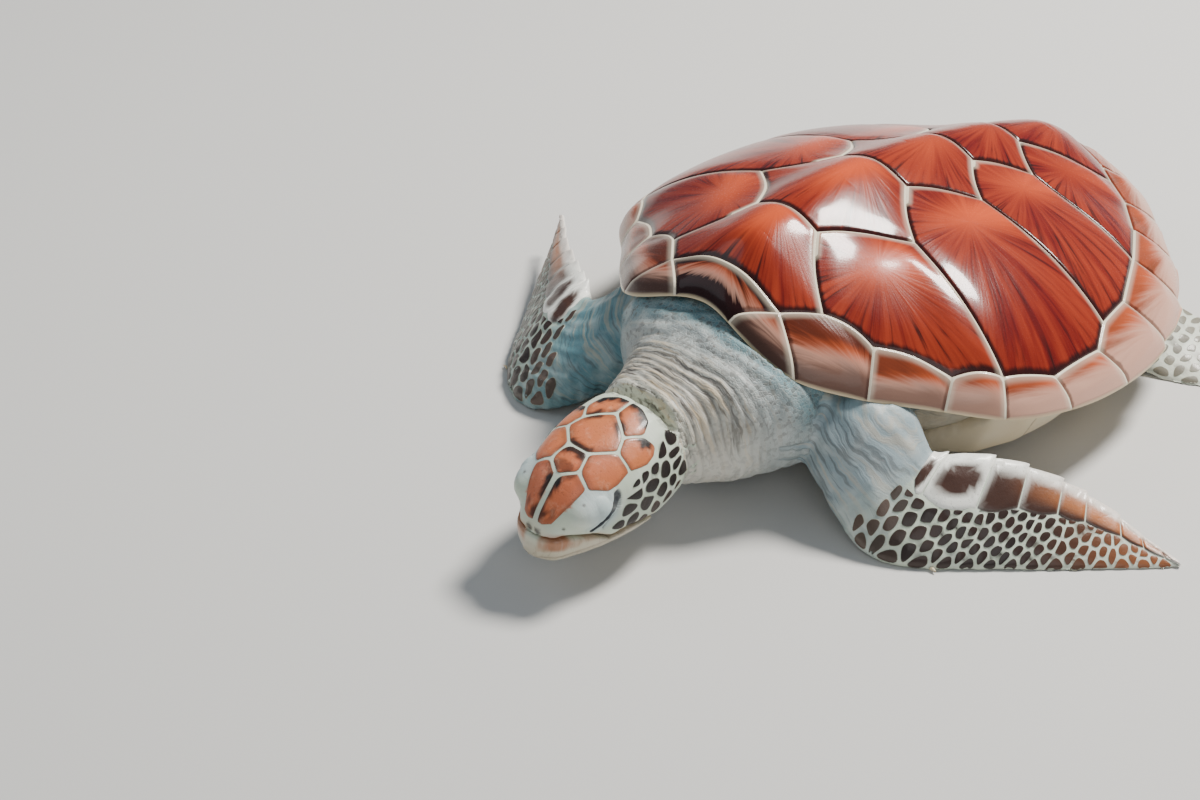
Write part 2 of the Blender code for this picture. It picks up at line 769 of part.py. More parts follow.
def limb_mesh(stations, start, end, grow=0.0):
    count = max(2, round((end - start) / LIMB_STEP))
    rings = [limb_ring(stations, start + (end - start) * k / count, grow) for k in range(count + 1)]
    bm = skin_rings(rings)
    press_flat(bm)
    return bm


def limb(names, stations, split, look):
    """Upper part and blade of a limb, parted at station number split."""
    last = len(stations) - 1
    step = (Vector(stations[int(split) + 1][0]) - Vector(stations[int(split)][0])).length
    upper = add_object(names[0], limb_mesh(stations, 0, split), look)
    add_object(names[1], limb_mesh(stations, split + LIMB_CUT / step, last), scaled_skin())
    for tool in ("neck_cutter", "trunk_cutter", "plastron_cutter", "carapace_cutter"):
        cut(upper, bpy.data.objects[tool])


def mirrored_stations(stations, shift):
    mirror = Matrix.Scale(-1, 3, (1, 0, 0))
    made = []
    for number, (lead, trail, thick) in enumerate(stations):
        move = shift * (number / (len(stations) - 1))
        made.append((mirror @ Vector(lead) + move, mirror @ Vector(trail) + move, thick))
    return made


def limbs():
    limb(("arm_left", "flipper_left"), ARM_LEFT, ARM_SPLIT, soft_skin())
    limb(("arm_right", "flipper_right"), ARM_RIGHT, ARM_SPLIT, soft_skin())
    limb(("thigh_left", "foot_left"), LEG_LEFT, LEG_SPLIT, soft_skin())
    right = mirrored_stations(LEG_LEFT, LEG_RIGHT_SHIFT)
    limb(("thigh_right", "foot_right"), right, LEG_SPLIT, soft_skin())


def tail():
    bm = skin_rings(tube_rings(TAIL, 12, 2.0))
    press_flat(bm)
    body = add_object("tail", bm, soft_skin())
    for tool in ("trunk_cutter", "plastron_cutter", "carapace_cutter"):
        cut(body, bpy.data.objects[tool])


def claw(name, stations, t):
    """Small cone on the leading edge of a front flipper, pointing forwards and out."""
    lead = curve_point([s[0] for s in stations], t)
    trail = curve_point([s[1] for s in stations], t)
    along = curve_point([s[0] for s in stations], t + 0.2) - lead
    out = ((lead - trail).normalized() + along.normalized() * CLAW_LEAN).normalized()
    out.z = max(out.z, 0.0)
    out.normalize()
    base = lead + Vector((0, 0, CLAW_RADIUS + GAP)) - out * CLAW_RADIUS
    bm = bmesh.new()
    bmesh.ops.create_cone(
        bm, cap_ends=True, segments=8, radius1=CLAW_RADIUS, radius2=0.0003, depth=CLAW_LENGTH
    )
    turn = out.to_track_quat("Z", "Y").to_matrix().to_4x4()
    place = Matrix.Translation(base + out * (CLAW_LENGTH / 2)) @ turn
    bmesh.ops.transform(bm, matrix=place, verts=bm.verts)
    body = add_object(name, bm, claw_horn())
    last = len(stations) - 1
    tool = limb_mesh(stations, ARM_SPLIT, last, GAP)
    cut(body, add_object(f"{name}_cutter", tool, claw_horn(), CUTTERS))


def claws():
    claw("claw_left", ARM_LEFT, CLAW_STATION)
    claw("claw_right", ARM_RIGHT, CLAW_STATION)


def body_cutters():
    add_object("trunk_cutter", trunk_mesh(CLEAR), soft_skin(), CUTTERS)
    add_object("plastron_cutter", plastron_mesh(CLEAR), belly_horn(), CUTTERS)
    neck_rings = tube_rings(NECK, 24, NECK_SQUARE, CLEAR)
    add_object("neck_cutter", skin_rings(neck_rings), soft_skin(), CUTTERS)
    carapace_cutter()


def main():
    for old in list(bpy.data.objects):
        bpy.data.objects.remove(old)
    collection(PARTS)
    collection(CUTTERS)
    body_cutters()
    vertebrals()
    costals()
    marginals()
    trunk()
    plastron()
    neck()
    head()
    limbs()
    tail()
    claws()


main()
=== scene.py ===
import math
import random

import bmesh
import bpy
import numpy as np
from bpy.props import FloatProperty, FloatVectorProperty, IntProperty, PointerProperty
from mathutils import Matrix, Vector, noise
from mathutils.bvhtree import BVHTree
from mathutils.kdtree import KDTree


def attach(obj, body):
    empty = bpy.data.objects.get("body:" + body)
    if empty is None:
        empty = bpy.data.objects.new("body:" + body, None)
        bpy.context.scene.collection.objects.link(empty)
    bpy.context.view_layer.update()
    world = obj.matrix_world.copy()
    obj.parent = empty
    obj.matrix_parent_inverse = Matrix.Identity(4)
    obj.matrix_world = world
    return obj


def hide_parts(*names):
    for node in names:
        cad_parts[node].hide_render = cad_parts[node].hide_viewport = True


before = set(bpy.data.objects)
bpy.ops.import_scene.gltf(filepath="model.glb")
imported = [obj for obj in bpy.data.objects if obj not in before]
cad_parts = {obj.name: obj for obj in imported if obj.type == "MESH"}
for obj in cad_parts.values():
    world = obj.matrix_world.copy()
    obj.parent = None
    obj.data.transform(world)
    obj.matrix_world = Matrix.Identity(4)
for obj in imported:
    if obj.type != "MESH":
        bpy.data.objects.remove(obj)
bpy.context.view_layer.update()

bl_info = {
    "name": "Young green turtle",
    "version": (1, 0, 0),
    "blender": (4, 5, 0),
    "location": "View3D > Sidebar > Turtle",
    "description": "Shell plates, skin and scales of a young green turtle at rest",
    "category": "Object",
}

# ------------------------------------------------------------ the carapace's shape
# Its own frame, in shell lengths: x to the left, y rearwards, z up

SHELL = 0.42
PITCH = math.radians(6.2)
SHELL_Y = -0.1756
SHELL_Z = 0.097
HUB = 0.372
RIM = (
    (0, 0.330), (13.8, 0.345), (26.6, 0.357), (42.0, 0.347), (61.2, 0.355), (77.5, 0.400), (93.5, 0.422),
    (109.6, 0.452), (126.3, 0.497), (142.1, 0.537), (156.4, 0.570), (168.7, 0.617), (180, 0.645),
)
DOME = 0.148
DOME_POWER = 0.739
RIM_DROP = -0.053
RIM_REAR = 0.006
RIM_ARCH = 0.071
ARCH_WIDTH = 0.13
KEEL = 0.034
KEEL_WIDTH = 0.08
KEEL_FADE = 0.3

# Where plates meet, on the left side
NUCHAL_V1 = (0.105, 0.086)
V1_C1 = (0.147, 0.133)
V1_V2 = (0.058, 0.210)
V2_C1_C2 = (0.151, 0.326)
V2_V3 = (0.064, 0.406)
V3_C2_C3 = (0.130, 0.513)
C2_C3 = (0.365, 0.529)
V3_V4 = (0.056, 0.579)
V4_C3_C4 = (0.104, 0.680)
V4_V5 = (0.040, 0.722)
V5_C4 = (0.125, 0.875)
TAIL_SEAM = (0.0, 0.918)
INNER = (
    NUCHAL_V1, NUCHAL_V1, (0.219, 0.164), (0.313, 0.235), (0.360, 0.296), (0.391, 0.380), (0.390, 0.486),
    (0.350, 0.598), (0.293, 0.699), (0.234, 0.785), (0.170, 0.852), (0.085, 0.905), TAIL_SEAM,
)
OUTER = (8.8, 28.2, 45.5, 63.9, 76.5, 93.1, 110.2, 125.4, 138.0, 149.5, 160.0, 170.0, 180.0)
SAW_FROM = 7
SAW = 0.06
SEAM_BOWS = {  # how far a seam bows towards the midline, as a share of its length
    frozenset((V1_C1, V1_V2)): 0.06,
    frozenset((V1_V2, V2_C1_C2)): 0.07,
    frozenset((V2_C1_C2, V2_V3)): 0.05,
    frozenset((V2_V3, V3_C2_C3)): 0.07,
    frozenset((V3_C2_C3, V3_V4)): 0.04,
    frozenset((V3_V4, V4_C3_C4)): 0.06,
    frozenset((V4_C3_C4, V4_V5)): 0.04,
    frozenset((V4_V5, V5_C4)): 0.05,
    frozenset((INNER[2], INNER[3])): 0.06,
    frozenset((INNER[3], INNER[4])): 0.04,
    frozenset((V1_C1, INNER[2])): 0.08,
}
OUTLINE_STEP = 0.0068  # in shell lengths

# ------------------------------------------------------------ head and limbs

HEAD = 0.107
HEAD_FRAME = (
    Matrix.Translation((0.0196, -0.3236, 0.0300))
    @ Matrix.Rotation(math.radians(4.3), 4, "Z")
    @ Matrix.Rotation(math.radians(13.2), 4, "X")
    @ Matrix.Rotation(math.radians(4.4), 4, "Y")
    @ Matrix.Scale(HEAD, 4)
)
EYE_PLACE = Vector((0.203, 0.335, 0.200))  # side, along, up in head lengths
EYE_RADIUS = 0.092

ARM_LEFT = (
    ((0.057, -0.133, 0.034), (0.068, -0.083, 0.084), 0.046),
    ((0.086, -0.148, 0.027), (0.100, -0.104, 0.083), 0.042),
    ((0.111, -0.157, 0.015), (0.125, -0.099, 0.068), 0.035),
    ((0.135, -0.161, 0.003), (0.141, -0.103, 0.051), 0.026),
    ((0.160, -0.154, 0.000), (0.157, -0.091, 0.050), 0.018),
    ((0.186, -0.132, 0.000), (0.176, -0.074, 0.046), 0.014),
    ((0.214, -0.105, 0.000), (0.201, -0.055, 0.035), 0.011),
    ((0.242, -0.077, 0.000), (0.228, -0.043, 0.022), 0.008),
    ((0.264, -0.054, 0.000), (0.256, -0.038, 0.010), 0.005),
    ((0.281, -0.035, 0.001), (0.280, -0.034, 0.002), 0.0018),
)
ARM_RIGHT = (
    ((-0.046, -0.134, 0.034), (-0.060, -0.083, 0.084), 0.046),
    ((-0.073, -0.157, 0.022), (-0.089, -0.109, 0.082), 0.042),
    ((-0.095, -0.181, 0.008), (-0.107, -0.122, 0.064), 0.034),
    ((-0.119, -0.194, 0.001), (-0.124, -0.126, 0.052), 0.026),
    ((-0.146, -0.184, 0.000), (-0.137, -0.120, 0.058), 0.018),
    ((-0.171, -0.157, 0.000), (-0.152, -0.110, 0.054), 0.014),
    ((-0.192, -0.125, 0.001), (-0.176, -0.093, 0.047), 0.011),
    ((-0.212, -0.093, 0.007), (-0.202, -0.074, 0.041), 0.008),
    ((-0.229, -0.062, 0.016), (-0.224, -0.054, 0.035), 0.005),
    ((-0.244, -0.037, 0.029), (-0.243, -0.037, 0.030), 0.0018),
)
LEG_LEFT = (
    ((0.061, 0.116, 0.024), (0.054, 0.170, 0.046), 0.04),
    ((0.097, 0.112, 0.015), (0.093, 0.171, 0.036), 0.032),
    ((0.129, 0.117, 0.005), (0.124, 0.175, 0.024), 0.022),
    ((0.159, 0.125, 0.000), (0.147, 0.185, 0.015), 0.013),
    ((0.187, 0.142, 0.000), (0.167, 0.202, 0.009), 0.009),
    ((0.204, 0.167, 0.000), (0.184, 0.213, 0.005), 0.006),
    ((0.209, 0.200, 0.000), (0.204, 0.211, 0.001), 0.0016),
)
LEG_SHIFT = Vector((0.004, 0.006, 0.0))

FLESH = (
    "trunk", "neck", "head", "arm_left", "arm_right", "flipper_left", "flipper_right",
    "thigh_left", "thigh_right", "foot_left", "foot_right", "tail",
)


# ------------------------------------------------------------ sizes and colours


def colour(name, description, default):
    return FloatVectorProperty(
        name=name, description=description, subtype="COLOR", size=3, min=0, max=1, default=default
    )


def length(name, description, default, low, high):
    return FloatProperty(
        name=name, description=description, default=default, min=low, max=high, unit="LENGTH",
        subtype="DISTANCE", precision=5,
    )


class TurtleShell(bpy.types.PropertyGroup):
    """Colours and relief of the shell's plates."""

    red: colour("Red", "Main colour of the plates", (0.118, 0.0066, 0.0066))
    orange: colour("Orange", "Rays and ridges of the plates", (0.56, 0.080, 0.024))
    dark: colour("Dark", "Dark rays and the band along the front and side seams", (0.020, 0.006, 0.006))
    seam: colour("Seam", "Pale line along the rear and upper seams", (0.74, 0.66, 0.52))
    brown: colour("Brown", "Inner part of the marginal plates", (0.34, 0.085, 0.032))
    rim: colour("Rim", "Outer part of the marginal plates", (0.62, 0.37, 0.28))
    under: colour("Underside", "Plastron and the underside of the rim", (0.76, 0.62, 0.40))
    seam_width: length("Seam width", "Width of the pale line", 0.0016, 0.0005, 0.006)
    band_width: length("Band width", "Width of the dark band", 0.0032, 0.0005, 0.010)
    ridge: length("Ridge height", "Height of the soft ridge on a large plate", 0.0016, 0.0, 0.004)
    swell: length("Swell", "How far a plate swells between its seams", 0.0007, 0.0, 0.003)


class TurtleSkin(bpy.types.PropertyGroup):
    """Colours and folds of the skin."""

    voxel: length("Fineness", "Size of the skin's faces", 0.0020, 0.0012, 0.005)
    depth: length("Depth", "How far the skin lies inside the solid body", 0.0004, 0.0, 0.002)
    fold: length("Fold depth", "Depth of the neck's ring folds", 0.0007, 0.0, 0.003)
    pale: colour("Throat", "Throat, chest and flank", (0.62, 0.60, 0.54))
    back: colour("Neck", "Upper side of the neck", (0.24, 0.22, 0.18))
    blue: colour("Shoulder", "Shoulders and upper arms", (0.17, 0.28, 0.34))
    # Painted shade: teal for the shaded right arm and flipper, and for the skin under the shell's front rim.
    shade_teal: colour("Teal", "Right shoulder and the fold under the shell's front", (0.09, 0.22, 0.26))
    mint: colour("Mint", "Skin between scales", (0.55, 0.62, 0.50))
    lid: colour("Eyelid", "Eyelids", (0.46, 0.56, 0.56))


class TurtleScales(bpy.types.PropertyGroup):
    """Colours and sizes of the scales."""

    terracotta: colour("Terracotta", "Plates on top of the head", (0.57, 0.155, 0.068))
    black: colour("Black", "Cheek and flipper scales", (0.012, 0.009, 0.009))
    brown: colour("Brown", "Wrist and trailing edge scales", (0.085, 0.036, 0.024))
    tan: colour("Tan", "Scales near the flipper's tip", (0.50, 0.165, 0.05))
    height: length("Height", "How far a scale stands over the skin", 0.0005, 0.0001, 0.002)
    groove: length("Groove", "Width of the pale skin between head plates", 0.0008, 0.0002, 0.005)


class TurtleStage(bpy.types.PropertyGroup):
    """Floor and light."""

    floor: colour("Floor", "Colour of the floor", (0.60, 0.595, 0.58))
    power: FloatProperty(name="Key light", description="Power of the key light", default=118.0, min=0)
    sides: IntProperty(name="Floor sides", description="Corners of the floor", default=64, min=8)


def settings():
    return bpy.context.scene.turtle_shell, bpy.context.scene.turtle_skin, bpy.context.scene.turtle_scales


# ------------------------------------------------------------ curves


def smooth(table, t):
    """Cubic curve through (place, value) pairs, level at both ends."""
    if t <= table[0][0]:
        return table[0][1]
    if t >= table[-1][0]:
        return table[-1][1]
    slopes = [0.0]
    for before, after in zip(table[:-2], table[2:]):
        slopes.append((after[1] - before[1]) / (after[0] - before[0]))
    slopes.append(0.0)
    k = max(i for i, pair in enumerate(table) if pair[0] <= t)
    (t0, v0), (t1, v1) = table[k], table[k + 1]
    width = t1 - t0
    s = (t - t0) / width
    rise = s * s * (3 - 2 * s)
    return (
        v0 + (v1 - v0) * rise
        + slopes[k] * width * s * (1 - s) ** 2
        - slopes[k + 1] * width * s * s * (1 - s)
    )


def curve_point(stations, t):
    """Point of a smooth curve through the stations, at station number t."""
    last = len(stations) - 1
    t = min(max(t, 0.0), last)
    k = min(int(t), last - 1)
    s = t - k
    p0 = Vector(stations[max(k - 1, 0)])
    p1 = Vector(stations[k])
    p2 = Vector(stations[k + 1])
    p3 = Vector(stations[min(k + 2, last)])
    leaving = (p2 - p0) / 2
    arriving = (p3 - p1) / 2
    rise = s * s * (3 - 2 * s)
    return p1.lerp(p2, rise) + leaving * (s * (1 - s) ** 2) - arriving * (s * s * (1 - s))


def ramp(value, low, high):
    """Nought at low, one at high, smooth between."""
    s = min(max((value - low) / (high - low), 0.0), 1.0)
    return s * s * (3 - 2 * s)


def rim_point(angle, share=1.0):
    """Point of the rim at an angle from the front, in degrees, or a share of the way out to it."""
    radius = smooth(RIM, abs(angle)) * share
    turn = math.radians(angle)
    return radius * math.sin(turn), HUB - radius * math.cos(turn)


def rim_height(x, y):
    """Height of the rim over a place of its outline."""
    arch = RIM_ARCH * math.exp(-((x / ARCH_WIDTH) ** 2)) if y < HUB else 0.0
    along = min(max(y, 0.0), 1.0)
    return RIM_DROP * math.sin(math.pi * along) + RIM_REAR * along * along + arch


def rim_share(x, y):
    """How far out a place lies between the hub and the rim."""
    return math.hypot(x, HUB - y) / smooth(RIM, abs(math.degrees(math.atan2(x, HUB - y))))


def dome(x, y):
    """Height of the carapace's outer surface."""
    angle = math.degrees(math.atan2(x, HUB - y))
    share = min(rim_share(x, y), 1.0)
    edge = rim_height(*rim_point(angle))
    fade = smooth(((0, 0), (KEEL_FADE, 1)), 1 - share)
    keel = KEEL * math.exp(-((x / KEEL_WIDTH) ** 2)) * fade
    return edge * share**3 + DOME * (1 - share * share) ** DOME_POWER + keel


def shell_to_world(x, y, z, lift=0.0):
    """Point of the shell's frame in the world, raised by metres."""
    up = z * SHELL + lift
    along = y * SHELL
    return Vector((
        x * SHELL,
        SHELL_Y + along * math.cos(PITCH) + up * math.sin(PITCH),
        SHELL_Z - along * math.sin(PITCH) + up * math.cos(PITCH),
    ))


def world_to_shell(p):
    """Point of the world in the shell's frame."""
    back, up = p.y - SHELL_Y, p.z - SHELL_Z
    along = back * math.cos(PITCH) - up * math.sin(PITCH)
    high = back * math.sin(PITCH) + up * math.cos(PITCH)
    return Vector((p.x, along, high)) / SHELL


# ------------------------------------------------------------ materials


class Value:
    """Output of a shader node; sums of values are Math nodes."""

    def __init__(self, net, socket):
        self.net = net
        self.socket = socket

    def __add__(self, other):
        return self.net.math("ADD", self, other)

    def __mul__(self, other):
        return self.net.math("MULTIPLY", self, other)

    def __sub__(self, other):
        return self.net.math("SUBTRACT", self, other)

    def __rsub__(self, other):
        return self.net.math("SUBTRACT", other, self)

    def held(self):
        """The value kept from nought to one."""
        self.socket.node.use_clamp = True
        return self

    def between(self, low, high, start=0.0, end=1.0):
        """Smooth step of the value from low to high."""
        inputs = {0: self, 1: low, 2: high, 3: start, 4: end}
        return self.net.add("MapRange", inputs, interpolation_type="SMOOTHSTEP")

    def channel(self, number=0, kind="Color"):
        return self.net.add(f"Separate{kind}", {0: self}, number)


class Net:
    """The nodes of a material or of a node group."""

    def __init__(self, tree):
        self.tree = tree

    def feed(self, socket, value):
        """Links a value to a socket, or sets a constant on it."""
        if isinstance(value, Value):
            self.tree.links.new(value.socket, socket)
        else:
            socket.default_value = (*value[:3], 1.0) if socket.type == "RGBA" else value

    def add(self, kind, inputs=(), output=0, **options):
        """One output of a new node with its options and inputs set."""
        node = self.tree.nodes.new("ShaderNode" + kind)
        for key, value in options.items():
            setattr(node, key, value)
        for key, value in dict(inputs).items():
            self.feed(node.inputs[key], value)
        return Value(self, node.outputs[output])

    def math(self, operation, a, b=0.0):
        return self.add("Math", {0: a, 1: b}, operation=operation)

    def mix(self, share, a, b):
        return self.add("Mix", {0: share, 6: a, 7: b}, 2, data_type="RGBA")

    def vector(self, *parts):
        return self.add("CombineXYZ", dict(enumerate(parts)))

    def place(self):
        return self.add("TexCoord", output="Object")

    def cloud(self, scale, detail=2.0, roughness=0.5, place=None):
        inputs = {"Vector": place or self.place(), "Scale": scale, "Detail": detail, "Roughness": roughness}
        return self.add("TexNoise", inputs)

    def cells(self, scale, output, feature="F1"):
        return self.add("TexVoronoi", {"Vector": self.place(), "Scale": scale}, output, feature=feature)

    def mark(self, name, output="Fac"):
        """A mark that the mesh carries."""
        return self.add("Attribute", output=output, attribute_name=name)

    def group(self, tree, given):
        """The outputs of a shared group with one input."""
        node = self.tree.nodes.new("ShaderNodeGroup")
        node.node_tree = tree
        self.feed(node.inputs[0], given)
        return [Value(self, output) for output in node.outputs]


class Finish(Net):
    """A material under work: its gloss, the colour painted so far and its nodes."""

    def __init__(self, name, roughness, coat=0.0, coat_roughness=0.05, specular=0.5):
        self.look = bpy.data.materials.new(name)
        self.look.use_nodes = True
        super().__init__(self.look.node_tree)
        self.shader = self.tree.nodes["Principled BSDF"]
        self.gloss(
            Roughness=roughness, Coat_Weight=coat, Coat_Roughness=coat_roughness, Specular_IOR_Level=specular
        )
        self.colour = None

    def gloss(self, **values):
        for key, value in values.items():
            self.feed(self.shader.inputs[key.replace("_", " ")], value)

    def paint(self, share, tone):
        """Lays a share of a tone over the colour so far."""
        self.colour = self.mix(share, self.colour, tone)

    def done(self, height=None, distance=0.0, strength=1.0):
        """The material, with its colour and its relief joined up."""
        self.gloss(Base_Color=self.colour)
        if height is not None:
            inputs = {"Height": height, "Distance": distance, "Strength": strength}
            self.gloss(Normal=self.add("Bump", inputs))
        return self.look


def shared_group(name, label, kind, results):
    """Nodes of a new group with one input, that input, and the node its results go to."""
    tree = bpy.data.node_groups.new(name, "ShaderNodeTree")
    tree.interface.new_socket(label, in_out="INPUT", socket_type=f"NodeSocket{kind}")
    for result in results:
        tree.interface.new_socket(result, in_out="OUTPUT", socket_type="NodeSocketFloat")
    net = Net(tree)
    return net, Value(net, tree.nodes.new("NodeGroupInput").outputs[label]), tree.nodes.new("NodeGroupOutput")


def growth_rays():
    """Rays that fan out from a plate's growth point, broad and fine."""
    made = bpy.data.node_groups.get("growth_rays")
    if made:
        return made
    net, ray, outs = shared_group("growth_rays", "Ray", "Vector", ("Broad", "Fine"))
    x, y, plate = (ray.channel(number, "XYZ") for number in range(3))
    angle = net.math("ARCTAN2", x, y)
    reach = net.math("SQRT", net.math("POWER", x, 2.0) + net.math("POWER", y, 2.0))
    worn = reach.between(0.002, 0.034, 0.25, 1.0)
    for label, turns, along, detail in (("Broad", 3.2, 9.0, 3.0), ("Fine", 13.0, 16.0, 4.0)):
        place = net.vector(angle * turns, reach * along, plate * 3.7)
        net.feed(outs.inputs[label], (net.cloud(1.0, detail, 0.6, place) - 0.5) * worn + 0.5)
    return net.tree


def fine_grain():
    """Small pits for horn and skin, in object space."""
    made = bpy.data.node_groups.get("fine_grain")
    if made:
        return made
    net, scale, outs = shared_group("fine_grain", "Scale", "Float", ("Pits",))
    net.feed(outs.inputs["Pits"], net.cloud(scale, 5.0, 0.65))
    return net.tree


def plate_horn(name, marginal=False):
    """Streaked horn of a shell plate, with its pale line, dark band and wet gloss."""
    shell = settings()[0]
    horn = Finish(name, 0.30, 0.26 if marginal else 0.40, 0.10, 0.12)
    broad, fine = horn.group(growth_rays(), horn.mark("ray", "Vector"))
    (pits,) = horn.group(fine_grain(), 900.0)
    ridge, band, seam = (horn.mark(key) for key in ("ridge", "band", "seam"))
    warm = broad.between(0.36, 0.62) * 0.26 + ridge * horn.mark("glow") * 0.82
    horn.colour = horn.mix(warm.held(), shell.red, shell.orange)
    horn.paint(fine.between(0.38, 0.66) * 0.17, shell.orange)
    gloom = horn.cloud(30.0, 3.0).between(0.40, 0.66) * 0.5 + band.between(0.024, 0.003) * 0.7
    horn.paint(fine.between(0.47, 0.30) * (1.0 - ridge) * (gloom + 0.22).held(), shell.dark)
    if marginal:
        outward = horn.mark("rim") + (fine - 0.5) * 0.7
        horn.paint(0.55, shell.brown)
        horn.paint(outward.between(0.22, 0.74) * 0.85, shell.rim)
        # On the front marginal plates and the nuchal: painted shade, strongest at the front, laid over the plates' own
        # dark inner and outer edges.
        shade = outward.between(0.42, 0.05) + outward.between(0.46, 0.80)
        horn.paint(horn.mark("dusk") * shade.held(), shell.dark)
    wide, deep = (0.75, 0.55) if marginal else (1.15, 0.93)
    edge = band + (fine - 0.5) * 0.0042
    horn.paint(edge.between(shell.band_width * wide, shell.band_width * 0.3) * deep, shell.dark)
    horn.paint(seam.between(shell.seam_width * 3.4, shell.seam_width) * 0.35, shell.seam)
    horn.paint(seam.between(shell.seam_width * 1.15, shell.seam_width * 0.75), shell.seam)
    horn.paint(horn.mark("under"), shell.under)
    horn.gloss(Roughness=pits * 0.22 + 0.14)
    rings = horn.math("SINE", horn.mark("reach") * 120.0)
    return horn.done(fine + rings * 0.10 + pits * 0.18, 0.0004, 0.55)


def belly_horn():
    """Cream horn of the plastron, with its seams."""
    horn = Finish("belly_plates", 0.45, 0.15)
    (pits,) = horn.group(fine_grain(), 260.0)
    seam = horn.mark("seam")
    horn.colour = horn.mix(horn.cloud(14.0, 4.0).between(0.35, 0.7), settings()[0].under, (0.84, 0.74, 0.56))
    horn.paint(seam.between(0.0016, 0.0005) * 0.6, (0.42, 0.30, 0.17))
    return horn.done(pits * 0.12 - seam.between(0.0022, 0.0), 0.0007, 0.8)


def skin_material():
    """Wrinkled skin; its main colour and the strength of its folds come from the mesh."""
    skin = Finish("turtle_skin", 0.52, 0.10, 0.25)
    folds, pebbles, lie = skin.mark("folds"), skin.mark("pebbles"), skin.mark("lie", "Vector")
    along, across, up = (lie.channel(number, "XYZ") for number in range(3))
    bent = along + (skin.cloud(38.0, 3.0) - 0.5) * 0.011
    lines = skin.cloud(1.0, 3.0, 0.55, skin.vector(bent * 330.0, across * 26.0, up * 26.0))
    gap = skin.cells(430.0, "Distance", "DISTANCE_TO_EDGE").between(0.16, 0.02) * pebbles
    speck = skin.cells(430.0, "Color").channel().between(0.62, 0.9) * pebbles
    (pits,) = skin.group(fine_grain(), 1300.0)
    skin.colour = skin.mark("coat", "Color")
    skin.paint(skin.cloud(60.0, 4.0).between(0.42, 0.68) * 0.28, (0.68, 0.70, 0.66))
    skin.paint(speck * 0.55, (0.085, 0.070, 0.060))
    skin.paint(gap * 0.14, (0.66, 0.68, 0.62))
    skin.paint(lines.between(0.52, 0.66) * folds * 0.55, (0.66, 0.50, 0.30))
    # Dark along the low lines of the wrinkles, where the relief sinks: painted shade in the creases.
    skin.paint(lines.between(0.46, 0.36) * folds * 0.88, (0.050, 0.042, 0.038))
    skin.gloss(Subsurface_Weight=0.06, Subsurface_Radius=(0.004, 0.002, 0.0015), Subsurface_Scale=1.0)
    return skin.done((lines - 0.5) * (folds * 2.2 + 0.35) + gap * -0.22 + pits * 0.16, 0.0010, 0.75)


def scale_material(name, roughness, coat_weight, wear):
    """Scales take their colour from the mesh, with grain and worn specks over it."""
    horn = Finish(name, roughness, coat_weight, 0.15, 0.28)
    coat = horn.mark("coat", "Color")
    (pits,) = horn.group(fine_grain(), 700.0)
    cloud = horn.cloud(170.0, 5.0, 0.6)
    worn = coat.channel().between(0.04, 0.30) * wear
    horn.colour = coat
    horn.paint(cloud.between(0.52, 0.74) * worn, horn.mix(0.45, coat, (0.86, 0.56, 0.38)))
    horn.paint(pits.between(0.44, 0.28) * 0.5, (0.05, 0.03, 0.025))
    horn.gloss(Roughness=cloud * 0.25 + (roughness - 0.12))
    return horn.done(pits + cloud, 0.00035, 0.5)


def beak_material():
    """Horn of the beak, with fine lines round it."""
    horn = Finish("beak_sheath", 0.33, 0.25, 0.12)
    (pits,) = horn.group(fine_grain(), 500.0)
    round_it = horn.add("Mapping", {"Vector": horn.place(), "Scale": (60.0, 300.0, 60.0)})
    lines = horn.cloud(2.0, 4.0, 0.5, round_it)
    horn.colour = horn.mark("coat", "Color")
    horn.paint(lines.between(0.5, 0.7) * 0.12, settings()[1].pale)
    horn.paint(lines.between(0.46, 0.32) * 0.25, (0.20, 0.12, 0.07))
    return horn.done(lines + pits, 0.0003, 0.5)


def eye_material():
    eye = Finish("wet_eye", 0.08, 1.0, 0.02)
    eye.colour = eye.mix(eye.cloud(500.0, 3.0).between(0.4, 0.7), (0.012, 0.010, 0.009), (0.05, 0.03, 0.015))
    return eye.done()


def claw_material():
    horn = Finish("claw_horn", 0.3, 0.2, 0.1)
    cloud = horn.cloud(600.0, 3.0)
    horn.colour = horn.mix(cloud.between(0.35, 0.7), (0.52, 0.38, 0.20), (0.74, 0.64, 0.46))
    return horn.done(cloud, 0.0002, 0.5)


def floor_material(tone):
    floor = Finish("pale_floor", 0.85)
    floor.colour = floor.mix(floor.cloud(4.0), tone, [min(c * 1.03, 1.0) for c in tone])
    return floor.done()


# ------------------------------------------------------------ making pieces


def finish_piece(name, bm, look, replaced=(), smooth_angle=40.0):
    """Turns a bmesh into a piece that rides on the body."""
    mesh = bpy.data.meshes.new(name)
    bm.to_mesh(mesh)
    bm.free()
    mesh.shade_smooth()
    mesh.set_sharp_from_angle(angle=math.radians(smooth_angle))
    mesh.materials.append(look)
    made = bpy.data.objects.new(name, mesh)
    bpy.context.scene.collection.objects.link(made)
    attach(made, "root")
    if replaced:
        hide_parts(*replaced)
    return made


def layers(bm, floats, vectors="", colours=""):
    """Vertex layers by kind, made where they are missing and looked up once all are there."""
    kinds = (("float", floats), ("float_vector", vectors), ("float_color", colours))
    wanted = [(getattr(bm.verts.layers, kind), name) for kind, names in kinds for name in names.split()]
    for store, name in wanted:
        if name not in store.keys():
            store.new(name)
    return [store[name] for store, name in wanted]


def relax(bm, times, verts=None):
    """Evens out the vertices again and again."""
    for _ in range(times):
        bmesh.ops.smooth_vert(
            bm, verts=bm.verts if verts is None else verts, factor=0.5,
            use_axis_x=True, use_axis_y=True, use_axis_z=True,
        )


def push(bm, reach):
    """Moves every vertex out along its normal."""
    for v in bm.verts:
        v.co += v.normal * reach


def extruded(bm, face):
    """The new face over an extruded one."""
    made = bmesh.ops.extrude_face_region(bm, geom=[face])["geom"]
    return next(part for part in made if isinstance(part, bmesh.types.BMFace))


